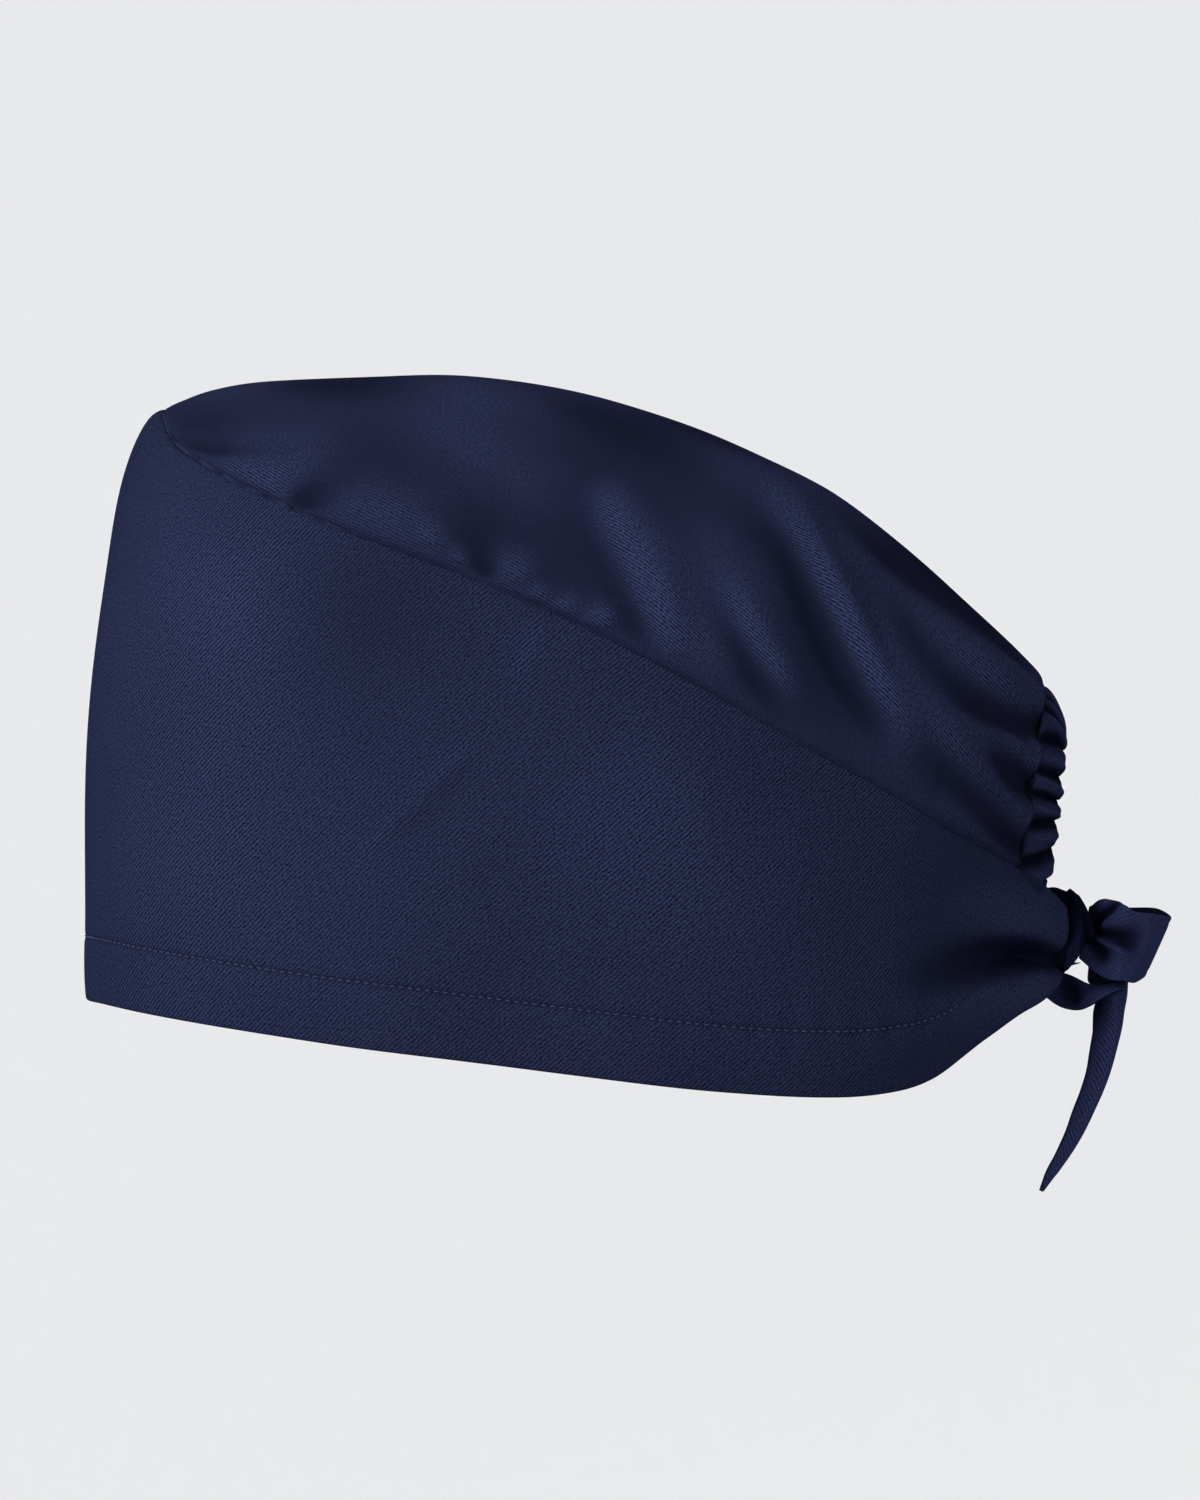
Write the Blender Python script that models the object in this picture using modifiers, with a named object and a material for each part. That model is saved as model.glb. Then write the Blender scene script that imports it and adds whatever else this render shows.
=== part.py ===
"""Tie-back scrub cap, as worn: side band, gathered crown, ruffled elastic casing and tied bow.

Metres, +Z up. The wearer faces -X, and the near side, the wearer's left, is -Y. The origin is
the middle of the rim, where the head goes in. The rim slopes down towards the back.
"""

import math
from collections import namedtuple

import bmesh
import bpy
import numpy as np

# The cap
CAP_LENGTH = 0.245
CAP_WIDTH = 0.166
CAP_HEIGHT = 0.171
CLOTH_THICKNESS = 0.0011
HEM_DEPTH = 0.0165
HEM_THICKNESS = 0.0022

# Clearances
SEAM_GAP = 0.0006
PIECE_GAP = 0.0003

# The folds of the cloth, which the fold tables take shares of
FOLD_WIDTH = 0.010
FOLD_HEIGHT = 0.006

# The elastic casing
CASING_THICKNESS = 0.0036
CASING_RUFFLES = 17
RUFFLE_DEPTH = 0.0007

# The knot and the ties
KNOT_LENGTH = 0.0054
KNOT_WIDTH = 0.0190
KNOT_HEIGHT = 0.0175
KNOT_LIFT = 0.0035
KNOT_TONGUE = 0.0055
TIE_THICKNESS = 0.0010
BOW_REACH = 0.0205
BOW_DEPTH = 0.0180
BOW_SPREAD = 0.0190
LOOP_REACH = 0.0125
LOOP_DEPTH = 0.0120
LOOP_DROP = 0.0115
LOOP_WIDTH = 0.0085
TAIL_DROP = 0.0670
TAIL_WIDTH = 0.0095

# Mesh fineness
SECTION_STEPS = 3
CROWN_ACROSS = 30
STEPS_PER_RUFFLE = 4
CASING_SIDES = 10
KNOT_SIDES = 18
TIE_STEPS = 2

# Rows of the band above its hem, as shares of the way from the hem's top to the seam
BAND_ROWS = (0.16, 0.36, 0.56, 0.74, 0.88, 0.95, 0.985, 1.0)

# The band's section: how late it starts to turn in to the seam, and how many times the height of
# the curve v (1 - v) squared its belly is
TURN_IN_POWER = 2.5
BELLY_SCALE = 6.75

# The crown holds its folds off its seam, between these two sines of the section's angle, and off
# the casing, over this share of its length
FOLDS_START = 0.1
FOLDS_FULL = 0.5
FOLDS_FADE = 0.11

# The knot's corners: 1 is an ellipse, less is a box
KNOT_CORNER = 0.8

# The side band, from the front centre to the tied end. "along" is a share of CAP_LENGTH from the
# front, "out" a share of half of CAP_WIDTH, "up" a share of CAP_HEIGHT above the rim's middle.
# "shoulder" is how late the section turns in to the seam: 0.5 is round, 1 is straight. "belly" is
# how far it swells between hem and seam, as a share of half of CAP_WIDTH.
BandSection = namedtuple(
    "BandSection", "hem_along hem_out hem_up seam_along seam_out seam_up shoulder belly"
)
BAND_SECTIONS = (
    BandSection(0.002, 0.000, 0.087, 0.082, 0.000, 0.951, 0.50, 0.012),
    BandSection(0.024, 0.265, 0.089, 0.096, 0.265, 0.908, 0.52, 0.012),
    BandSection(0.075, 0.494, 0.082, 0.126, 0.458, 0.877, 0.56, 0.014),
    BandSection(0.158, 0.699, 0.069, 0.180, 0.614, 0.836, 0.65, 0.018),
    BandSection(0.269, 0.855, 0.051, 0.274, 0.747, 0.779, 0.75, 0.022),
    BandSection(0.388, 0.940, 0.033, 0.388, 0.831, 0.719, 0.85, 0.025),
    BandSection(0.516, 0.970, 0.011, 0.516, 0.880, 0.640, 0.95, 0.030),
    BandSection(0.634, 0.948, -0.010, 0.639, 0.880, 0.548, 1.00, 0.032),
    BandSection(0.732, 0.880, -0.021, 0.737, 0.819, 0.468, 1.00, 0.032),
    BandSection(0.803, 0.766, -0.021, 0.818, 0.723, 0.402, 1.00, 0.030),
    BandSection(0.859, 0.620, -0.005, 0.879, 0.596, 0.347, 1.00, 0.030),
    BandSection(0.912, 0.450, 0.043, 0.918, 0.458, 0.315, 1.00, 0.026),
    BandSection(0.947, 0.305, 0.073, 0.950, 0.301, 0.286, 1.00, 0.022),
    BandSection(0.976, 0.165, 0.094, 0.979, 0.170, 0.257, 1.00, 0.016),
    BandSection(0.993, 0.100, 0.128, 1.000, 0.100, 0.226, 1.00, 0.008),
)

# The crown, one row for each band section from the front centre to the casing. "ridge" is the
# crown's top line. "swell" is how far the section bows out between seam and ridge, as a share of
# half of CAP_WIDTH. "dome" is 1 for a round section and more for a flatter start at the seam.
CrownSection = namedtuple("CrownSection", "ridge_along ridge_up swell dome")
CROWN_SECTIONS = (
    CrownSection(0.082, 0.951, 0.000, 1.60),
    CrownSection(0.098, 0.963, 0.000, 1.60),
    CrownSection(0.133, 0.978, 0.005, 1.50),
    CrownSection(0.195, 0.994, 0.010, 1.40),
    CrownSection(0.291, 0.999, 0.015, 1.25),
    CrownSection(0.403, 0.994, 0.020, 1.15),
    CrownSection(0.526, 0.967, 0.020, 1.10),
    CrownSection(0.643, 0.913, 0.030, 1.05),
    CrownSection(0.745, 0.839, 0.030, 1.00),
    CrownSection(0.821, 0.763, 0.040, 1.00),
    CrownSection(0.882, 0.693, 0.060, 1.00),
    CrownSection(0.939, 0.614, 0.090, 1.00),
    CrownSection(0.979, 0.544, 0.115, 1.00),
)

# The casing's free edge, an arch over the keyhole that starts at the band section before the last
CASING_EDGE = CrownSection(0.999, 0.475, 0.130, 1.00)

# Folds, ridges with a height above 0 and valleys below, as seen from the side: a row runs from a
# first point to a last one, shares of CAP_LENGTH and CAP_HEIGHT. "width" is a share of FOLD_WIDTH,
# and "first" and "last" are the heights at its two ends, as shares of FOLD_HEIGHT.
Fold = namedtuple("Fold", "from_along from_up to_along to_up width first last")
CROWN_FOLDS = (
    Fold(0.109, 0.907, 0.230, 0.888, 0.80, -0.30, -0.10),
    Fold(0.226, 0.815, 0.311, 0.877, 1.10, -0.50, -0.15),
    Fold(0.420, 0.716, 0.390, 0.797, 1.10, -0.35, -0.05),
    Fold(0.540, 0.800, 0.597, 0.657, 1.20, 0.10, 0.55),
    Fold(0.630, 0.764, 0.660, 0.600, 1.20, -0.35, -0.50),
    Fold(0.664, 0.730, 0.720, 0.559, 1.10, 0.25, 0.50),
    Fold(0.705, 0.740, 0.780, 0.520, 1.10, -0.35, -0.50),
    Fold(0.735, 0.770, 0.833, 0.499, 1.10, 0.30, 0.65),
    Fold(0.830, 0.640, 0.910, 0.370, 1.00, -0.45, -0.65),
    Fold(0.800, 0.700, 0.955, 0.566, 1.00, 0.10, 0.55),
    Fold(0.880, 0.500, 0.955, 0.410, 0.90, 0.45, 0.60),
    Fold(0.885, 0.560, 0.963, 0.480, 0.70, -0.35, -0.60),
)
BAND_FOLDS = (
    Fold(0.839, 0.132, 0.985, 0.160, 0.45, -0.20, -1.10),
    Fold(0.880, 0.230, 0.990, 0.200, 0.60, 0.10, 0.25),
    Fold(0.890, 0.070, 0.985, 0.118, 0.50, 0.10, 0.25),
    Fold(0.226, 0.600, 0.320, 0.680, 2.00, -0.20, -0.15),
    Fold(0.300, 0.330, 0.420, 0.480, 0.70, 0.05, 0.10),
)

# The knot, from the tongue of gathered cloth between the band's ends to its back. "along" is a
# share of KNOT_LENGTH from the knot's front, or of KNOT_TONGUE where it is below 0, "wide" a share
# of half of KNOT_WIDTH, and "low" and "high" are shares of half of KNOT_HEIGHT from its middle.
KnotSection = namedtuple("KnotSection", "along wide low high")
KNOT_SECTIONS = (
    KnotSection(-1.00, 0.16, 0.25, 0.90),
    KnotSection(-0.60, 0.26, 0.10, 1.00),
    KnotSection(-0.20, 0.34, -0.10, 1.00),
    KnotSection(0.00, 0.95, -0.92, 1.00),
    KnotSection(0.22, 1.00, -1.00, 1.00),
    KnotSection(0.40, 0.88, -0.92, 0.90),
    KnotSection(0.55, 0.84, -0.90, 0.86),
    KnotSection(0.75, 0.92, -0.92, 0.88),
    KnotSection(0.92, 0.72, -0.74, 0.70),
    KnotSection(1.00, 0.42, -0.45, 0.45),
)

# A tie, row by row along its middle. "along", "out" and "up" are shares of the tie's own reach,
# depth and drop, and "width" of its width. "lean" is the angle of the tie's width above the X
# axis, and "turn" how far its upper edge turns away from the near side, in degrees.
TieRow = namedtuple("TieRow", "along out up width lean turn")
BOW_ROWS = (
    TieRow(0.03, -0.17, -0.13, 0.34, 90, 0),
    TieRow(0.18, -0.44, -0.07, 0.92, 85, 0),
    TieRow(0.38, -0.61, -0.21, 0.96, 81, 0),
    TieRow(0.66, -0.44, -0.26, 1.00, 72, 0),
    TieRow(0.83, -0.11, -0.28, 0.86, 66, 0),
    TieRow(0.70, 0.28, -0.23, 0.97, 71, 0),
    TieRow(0.43, 0.39, -0.20, 0.87, 80, 0),
    TieRow(0.21, 0.28, -0.13, 0.73, 86, 0),
    TieRow(0.03, 0.08, -0.15, 0.34, 90, 0),
)
LOOP_ROWS = (
    TieRow(-0.06, 0.12, -0.05, 0.45, 0, 0),
    TieRow(-0.27, 0.12, -0.14, 0.70, 10, 0),
    TieRow(-0.48, 0.08, -0.33, 0.80, 39, 0),
    TieRow(-0.57, -0.03, -0.40, 0.85, 58, 0),
    TieRow(-0.51, -0.17, -0.48, 0.85, 63, 0),
    TieRow(-0.24, -0.33, -0.63, 1.00, 70, 10),
    TieRow(0.15, -0.50, -0.74, 1.00, 70, 45),
    TieRow(0.51, -0.54, -0.68, 1.00, 70, 68),
    TieRow(0.84, -0.29, -0.56, 0.90, 70, 75),
    TieRow(0.97, 0.04, -0.45, 0.75, 80, 50),
    TieRow(0.80, 0.29, -0.39, 0.65, 90, 10),
    TieRow(0.52, 0.38, -0.26, 0.50, 90, 0),
    TieRow(0.20, 0.25, -0.14, 0.28, 60, 0),
)
TAIL_ROWS = (
    TieRow(0.006, 0.070, -0.082, 0.30, 90, 0),
    TieRow(0.062, 0.140, -0.125, 0.80, 60, 10),
    TieRow(0.112, 0.155, -0.201, 1.00, 40, 35),
    TieRow(0.110, 0.130, -0.275, 1.00, 21, 42),
    TieRow(0.097, 0.110, -0.343, 1.00, 7, 48),
    TieRow(0.084, 0.090, -0.404, 1.00, 0, 48),
    TieRow(0.067, 0.075, -0.478, 0.95, 0, 48),
    TieRow(0.049, 0.067, -0.552, 0.88, 0, 48),
    TieRow(0.023, 0.060, -0.627, 0.84, 0, 48),
    TieRow(-0.009, 0.052, -0.701, 0.80, 0, 48),
    TieRow(-0.042, 0.045, -0.776, 0.72, 0, 48),
    TieRow(-0.083, 0.037, -0.851, 0.64, 0, 48),
    TieRow(-0.130, 0.030, -0.925, 0.48, 0, 48),
    TieRow(-0.172, 0.030, -1.000, 0.10, 0, 48),
)

# Colours, linear
NAVY_BAND = (0.021, 0.027, 0.072)
NAVY_CROWN = (0.019, 0.024, 0.064)
NAVY_TIE = (0.017, 0.021, 0.057)


def start_scene():
    """Empty the scene and return the collection that holds the cap."""
    for item in list(bpy.data.objects):
        bpy.data.objects.remove(item, do_unlink=True)
    cap = bpy.data.collections.new("scrub_cap")
    bpy.context.scene.collection.children.link(cap)
    return cap


def cloth_material(name, colour, roughness=0.55):
    """A Principled BSDF for one piece of satin twill."""
    material = bpy.data.materials.new(name)
    material.use_nodes = True
    shader = material.node_tree.nodes["Principled BSDF"]
    shader.inputs["Base Color"].default_value = (*colour, 1.0)
    shader.inputs["Roughness"].default_value = roughness
    shader.inputs["Metallic"].default_value = 0.0
    return material


def smooth_rows(rows, steps):
    """A smooth curve through every row of a table, with steps points from one row to the next."""
    p = np.array(rows, float)
    p = np.vstack([2 * p[0] - p[1], p, 2 * p[-1] - p[-2]])
    t = (np.arange(steps) / steps)[None, :, None]
    a, b, c, d = (p[k : len(p) - 3 + k, None, :] for k in range(4))
    curve = 0.5 * (
        2 * b + (c - a) * t + (2 * a - 5 * b + 4 * c - d) * t**2 + (3 * b - a - 3 * c + d) * t**3
    )
    return np.vstack([curve.reshape(-1, p.shape[1]), p[-2]])


def place(along, out, up):
    """Points in metres from shares of the cap's length, half width and height."""
    return np.stack(
        [(along - 0.5) * CAP_LENGTH, out * 0.5 * CAP_WIDTH, up * CAP_HEIGHT],
        axis=-1,
    )


def grid_normals(points):
    """Unit normals of a grid of points, from the directions of its rows and columns."""
    across = np.cross(np.gradient(points, axis=0), np.gradient(points, axis=1))
    return across / np.maximum(np.linalg.norm(across, axis=-1, keepdims=True), 1e-12)


def raise_folds(points, folds, hold):
    """Move a grid along its normals by every fold, times hold, which is 0 where it must stay."""
    rise = np.zeros(points.shape[:2])
    for fold in folds:
        first = place(fold.from_along, 0.0, fold.from_up)[[0, 2]]
        last = place(fold.to_along, 0.0, fold.to_up)[[0, 2]]
        run = last - first
        away = points[..., [0, 2]] - first
        share = np.clip(away @ run / (run @ run), 0.0, 1.0)
        off = np.linalg.norm(away - share[..., None] * run, axis=-1)
        height = fold.first + (fold.last - fold.first) * share
        rise += FOLD_HEIGHT * height * np.exp(-((off / (FOLD_WIDTH * fold.width)) ** 2))
    return points + (rise * hold)[..., None] * grid_normals(points)


def grid_object(name, points, cap, material, ring=False):
    """A mesh object of quads over a grid. A ring closes on itself across and has both ends capped."""
    rows, across = points.shape[:2]
    index = np.arange(rows * across).reshape(rows, across)
    if ring:
        index = np.hstack([index, index[:, :1]])
    corners = (index[:-1, :-1], index[1:, :-1], index[1:, 1:], index[:-1, 1:])
    faces = np.stack(corners, axis=-1).reshape(-1, 4).tolist()
    if ring:
        faces.append(index[0, :-1].tolist())
        faces.append(index[-1, -2::-1].tolist())
    mesh = bpy.data.meshes.new(name)
    mesh.from_pydata(points.reshape(-1, 3).tolist(), [], faces)
    cage = bmesh.new()
    cage.from_mesh(mesh)
    bmesh.ops.remove_doubles(cage, verts=cage.verts, dist=1e-6)
    cage.to_mesh(mesh)
    cage.free()
    mesh.shade_smooth()
    mesh.materials.append(material)
    thing = bpy.data.objects.new(name, mesh)
    cap.objects.link(thing)
    return thing


def give_thickness(thing, thickness, offset):
    """Turn an open surface into a wall: offset -1 grows it inwards, 0 to both sides."""
    wall = thing.modifiers.new("wall", "SOLIDIFY")
    wall.thickness = thickness
    wall.offset = offset
    return wall


def band_lines():
    """Hem, seam, shoulder and belly of the band, all the way round from the far end to the near."""
    near = np.array(BAND_SECTIONS)
    near[:, [1, 4]] *= -1
    far = near[:0:-1] * [1, -1, 1, 1, -1, 1, 1, 1]
    rows = smooth_rows(np.vstack([far, near]), SECTION_STEPS)
    hem = place(rows[:, 0], rows[:, 1], rows[:, 2])
    seam = place(rows[:, 3], rows[:, 4], rows[:, 5])
    return hem, seam, rows[:, 6], rows[:, 7] * 0.5 * CAP_WIDTH


def side_band(cap):
    """The wrap from hem to seam, swollen a little, with its hem doubled and its ends pleated."""
    hem, seam, shoulder, belly = band_lines()
    tall = np.linalg.norm(seam - hem, axis=-1)
    hem_share = np.minimum(HEM_DEPTH / tall, 0.4)[:, None]
    above = hem_share + (1 - hem_share) * np.array(BAND_ROWS)
    v = np.hstack([hem_share * [[0.0, 0.5, 1.0]], above])
    turn_in = 1 - (1 - v**TURN_IN_POWER) ** shoulder[:, None]
    points = np.empty((*v.shape, 3))
    points[..., :2] = hem[:, None, :2] + (seam - hem)[:, None, :2] * turn_in[..., None]
    points[..., 2] = hem[:, None, 2] + (seam - hem)[:, None, 2] * v
    along = np.gradient(hem[:, :2], axis=0)
    outwards = np.stack([along[:, 1], -along[:, 0]], axis=-1)
    outwards /= np.linalg.norm(outwards, axis=-1, keepdims=True)
    swell = belly[:, None] * BELLY_SCALE * v * (1 - v) ** 2
    points[..., :2] += swell[..., None] * outwards[:, None, :]
    points = raise_folds(points, BAND_FOLDS, np.ones(v.shape))
    band = grid_object("side_band", points, cap, cloth_material("band_twill", NAVY_BAND))
    single = CLOTH_THICKNESS / HEM_THICKNESS
    group = band.vertex_groups.new(name="hem")
    across = v.shape[1]
    for row in range(across):
        picked = list(range(row, len(band.data.vertices), across))
        group.add(picked, 1.0 if row < 3 else single, "REPLACE")
    wall = give_thickness(band, HEM_THICKNESS, -1.0)
    wall.vertex_group = group.name
    return points


def arch(base, section, angle):
    """A section from its near base over its top to the far base, as angle goes from 0 to pi."""
    top = place(section[..., 0], 0.0 * section[..., 0], section[..., 1])
    rise = np.sin(angle) ** section[..., 3, None]
    bow = section[..., 2, None] * 0.5 * CAP_WIDTH * np.sin(2 * angle)
    points = np.empty((*np.broadcast_shapes(rise.shape, bow.shape), 3))
    points[..., 0] = base[..., 0, None] + (top - base)[..., 0, None] * rise
    points[..., 1] = base[..., 1, None] * np.cos(angle) - bow
    points[..., 2] = base[..., 2, None] + (top - base)[..., 2, None] * rise
    return points


def crown_base():
    """The crown's near seam, SEAM_GAP inside the band's, from the front centre to the casing."""
    front = (len(BAND_SECTIONS) - 1) * SECTION_STEPS
    back = front + (len(CROWN_SECTIONS) - 1) * SECTION_STEPS
    _, seam, _, _ = band_lines()
    along = np.gradient(seam, axis=0)[front : back + 1]
    seam = seam[front : back + 1]
    along /= np.linalg.norm(along, axis=-1, keepdims=True)
    top = CROWN_SECTIONS[len(CROWN_SECTIONS) // 2 - 1]
    to_top = place(top.ridge_along, 0.0, top.ridge_up) - seam
    inwards = to_top - (to_top * along).sum(axis=-1, keepdims=True) * along
    return seam + SEAM_GAP * inwards / np.linalg.norm(inwards, axis=-1, keepdims=True)


def crown(cap):
    """The top panel: arched sections from seam to seam, with the folds gathered into the casing."""
    base = crown_base()
    section = smooth_rows(CROWN_SECTIONS, SECTION_STEPS)
    angle = np.linspace(0.0, math.pi, CROWN_ACROSS + 1)
    points = arch(base, section, angle)
    points[0] = base[0]
    from_seam = np.clip((np.sin(angle) - FOLDS_START) / (FOLDS_FULL - FOLDS_START), 0.0, 1.0)
    from_casing = np.clip(np.linspace(1.0, 0.0, len(base)) / FOLDS_FADE, 0.0, 1.0)
    points = raise_folds(points, CROWN_FOLDS, from_casing[:, None] * from_seam)
    panel = grid_object("crown", points, cap, cloth_material("crown_twill", NAVY_CROWN))
    give_thickness(panel, CLOTH_THICKNESS, -1.0)


def elastic_casing(cap):
    """The arch of ruffled casing between the crown's back edge and the keyhole."""
    lift = np.array([0.0, 0.0, PIECE_GAP + 0.5 * CLOTH_THICKNESS])
    angle = np.linspace(0.0, math.pi, CASING_RUFFLES * STEPS_PER_RUFFLE + 1)
    gather = arch(crown_base()[-1] + lift, np.array(CROWN_SECTIONS[-1]), angle)
    end = BAND_SECTIONS[len(CROWN_SECTIONS)]
    foot = place(end.seam_along, -end.seam_out, end.seam_up) + lift + lift
    edge = arch(foot, np.array(CASING_EDGE), angle)
    width = np.linalg.norm(edge - gather, axis=-1, keepdims=True)
    gather = gather + (edge - gather) * (PIECE_GAP + 0.5 * CLOTH_THICKNESS) / width
    outwards = np.cross(edge - gather, np.gradient(gather, axis=0))
    outwards /= np.linalg.norm(outwards, axis=-1, keepdims=True)
    around = np.linspace(2 * math.pi, 0.0, CASING_SIDES, endpoint=False)
    ruffle = RUFFLE_DEPTH * np.cos(2 * CASING_RUFFLES * angle)[:, None]
    half = 0.5 * CASING_THICKNESS
    over = (half + ruffle) * np.sin(around) - 0.5 * half
    share = 0.5 - 0.5 * np.cos(around)
    points = (
        gather[:, None, :]
        + (edge - gather)[:, None, :] * share[None, :, None]
        + outwards[:, None, :] * over[..., None]
    )
    grid_object("elastic_casing", points, cap, cloth_material("casing_twill", NAVY_CROWN), ring=True)


def knot_centre():
    """The middle of the knot, PIECE_GAP behind the band's two ends."""
    end = BAND_SECTIONS[-1]
    reach = max(end.hem_along, end.seam_along) - 0.5
    middle = 0.5 * (end.hem_up + end.seam_up) * CAP_HEIGHT
    behind = reach * CAP_LENGTH + PIECE_GAP + 0.5 * KNOT_LENGTH
    return np.array([behind, 0.0, middle + KNOT_LIFT])


def tie_knot(cap):
    """Two turns of tie drawn tight over the gathered ends: boxy sections set along X."""
    along, wide, low, high = np.array(KNOT_SECTIONS).T
    reach = np.where(along < 0, along * KNOT_TONGUE, along * KNOT_LENGTH) - 0.5 * KNOT_LENGTH
    around = np.linspace(2 * math.pi, 0.0, KNOT_SIDES, endpoint=False)
    side = np.sign(np.cos(around)) * np.abs(np.cos(around)) ** KNOT_CORNER
    rise = np.sign(np.sin(around)) * np.abs(np.sin(around)) ** KNOT_CORNER
    middle = 0.5 * (low + high)
    tall = 0.5 * (high - low)
    points = np.empty((len(along), KNOT_SIDES, 3))
    points[..., 0] = reach[:, None]
    points[..., 1] = 0.5 * KNOT_WIDTH * wide[:, None] * side
    points[..., 2] = 0.5 * KNOT_HEIGHT * (middle[:, None] + tall[:, None] * rise)
    points = points + knot_centre()
    grid_object("tie_knot", points, cap, cloth_material("knot_twill", NAVY_TIE), ring=True)


def tie_strap(name, rows, origin, size, width, cap):
    """A strap of tie: its width swept along a smooth line through the rows of its table."""
    along, out, up, share, lean, turn = smooth_rows(rows, TIE_STEPS).T
    middle = origin + np.stack([along, out, up], axis=-1) * size
    lean = np.radians(lean)
    turn = np.radians(turn)
    flat = np.cos(turn)
    sideways = np.stack([np.cos(lean) * flat, np.sin(turn), np.sin(lean) * flat], axis=-1)
    half = 0.5 * width * share[:, None] * sideways
    across = np.linspace(-1.0, 1.0, 5)[None, :, None]
    points = middle[:, None, :] + half[:, None, :] * across
    strap = grid_object(name, points, cap, cloth_material(name + "_twill", NAVY_TIE))
    give_thickness(strap, TIE_THICKNESS, 0.0)


def ties(cap):
    """The bow's two loops and the hanging end, each starting PIECE_GAP off the knot."""
    knot = knot_centre()
    behind = knot + [0.5 * KNOT_LENGTH + PIECE_GAP, 0.0, 0.0]
    under = knot - [0.0, 0.0, 0.5 * KNOT_HEIGHT + PIECE_GAP]
    bow_size = (BOW_REACH, BOW_DEPTH, BOW_SPREAD)
    loop_size = (LOOP_REACH, LOOP_DEPTH, LOOP_DROP)
    tie_strap("bow_loop", BOW_ROWS, behind, bow_size, BOW_SPREAD, cap)
    tie_strap("lower_loop", LOOP_ROWS, under, loop_size, LOOP_WIDTH, cap)
    tie_strap("tie_tail", TAIL_ROWS, behind, (TAIL_DROP,) * 3, TAIL_WIDTH, cap)


def main():
    """Build the cap piece by piece."""
    cap = start_scene()
    side_band(cap)
    crown(cap)
    elastic_casing(cap)
    tie_knot(cap)
    ties(cap)


main()
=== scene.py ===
"""Looks of a tie-back scrub cap in navy satin twill.

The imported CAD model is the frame. Each soft piece is a surface worked out with numpy from the same
tables of sections as the solids, with the folds, gathers, hem and stitches on it, and it replaces
its solid. Metres, +Z up; the wearer faces -X and the near side, the wearer's left, is -Y.
"""

import math
from collections import namedtuple

import bmesh
import bpy
import numpy as np
from bpy.props import FloatProperty, FloatVectorProperty, IntProperty, PointerProperty
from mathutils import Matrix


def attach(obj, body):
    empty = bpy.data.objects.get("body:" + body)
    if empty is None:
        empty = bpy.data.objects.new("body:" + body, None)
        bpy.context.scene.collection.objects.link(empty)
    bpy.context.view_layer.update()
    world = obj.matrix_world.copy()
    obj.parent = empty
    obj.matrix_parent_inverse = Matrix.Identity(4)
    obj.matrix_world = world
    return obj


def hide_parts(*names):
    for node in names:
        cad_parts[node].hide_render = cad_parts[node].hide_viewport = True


bl_info = {
    "name": "Scrub Cap Looks",
    "version": (1, 0, 0),
    "blender": (4, 5, 0),
    "location": "3D View > Sidebar > Scrub Cap",
    "description": "Dresses the frame of a tie-back scrub cap in satin twill",
    "category": "Object",
}

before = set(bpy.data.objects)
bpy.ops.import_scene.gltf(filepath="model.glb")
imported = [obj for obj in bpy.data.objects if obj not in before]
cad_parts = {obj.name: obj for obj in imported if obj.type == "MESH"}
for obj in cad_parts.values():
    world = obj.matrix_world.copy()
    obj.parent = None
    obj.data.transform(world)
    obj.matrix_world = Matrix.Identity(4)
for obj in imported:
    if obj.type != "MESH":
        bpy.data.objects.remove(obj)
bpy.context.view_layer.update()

# How far a fold stands out, in metres, for most of the painted light and shade that it puts in the
# cloth's colour, lighter on its back and darker in a valley, and the share of the colour that this
# painted light and shade change there on the broad panels and on the small, deeply creased pieces
PAINTED_LIGHT_FOLD_HEIGHT = 0.0011
PAINTED_LIGHT_SHARE = 0.48
TIE_PAINTED_LIGHT_SHARE = 0.80

# The slant of the twill lines on each panel, in degrees
BAND_SLANT = 45.0
CROWN_SLANT = -8.0
CASING_SLANT = -33.0
TIE_SLANT = 40.0

# How much of the weave shows where the cloth lies flat, and how much more on a fold's back, where it
# is part of the painted highlight
BAND_PLAIN = 0.85
CROWN_PLAIN = 0.55
TIE_PLAIN = 0.30
FOLD_CLEAR = 0.55

# How rough each surface is, and the darkest and lightest of the cloth's yarns as shares of its
# colour
CLOTH_ROUGHNESS = 0.46
THREAD_ROUGHNESS = 0.5
FLOOR_ROUGHNESS = 0.9
DARK_YARN = 0.10
LIGHT_YARN = 1.90

# The share of the yarn's noise in the weave, the rest being the twill lines
YARN_SHARE = 0.45

# How far the stitches and the painted shade beside them run, as a share of the cap's length from
# its middle, and how far from the band's ends they stop, in metres
STITCHED_TO = 0.385
STITCH_MARGIN = 0.012

# How far from the seam the crown's folds, its slow waves and its gathers are held flat, in metres
FOLD_HOLD = 0.0022
WAVE_HOLD = 0.008
GATHER_HOLD = 0.0030

# How the weave is drawn together on the crown: by this many times the square of the distance
# behind a place along the cap, in metres
WEAVE_DRAW = 1.8
DRAWN_FROM = -0.02

# The powers of |sin| that shape a gather and a ruffle: 1 is a plain arch, and less gives a rounder
# top and a sharper crease
GATHER_POWER = 0.6
RUFFLE_POWER = 0.7

# Where a tie's edge is stitched, in metres from the edge, and how wide the stitched line is
TIE_STITCH_IN = 0.0016
TIE_STITCH_WIDTH = 0.0004

# A small gap between the knot and what it is set beside, in metres
KNOT_GAP = 0.0003

# Points closer than this, in metres, are one point
WELD = 2e-6

# How far the casing's feet run down inside the band, in metres, and inwards as a share of that
FOOT_DROP = 0.006
FOOT_IN = 0.65

# How far a turn of tie swells out of the knot, in metres
TURN_SWELL = 0.0013

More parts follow.
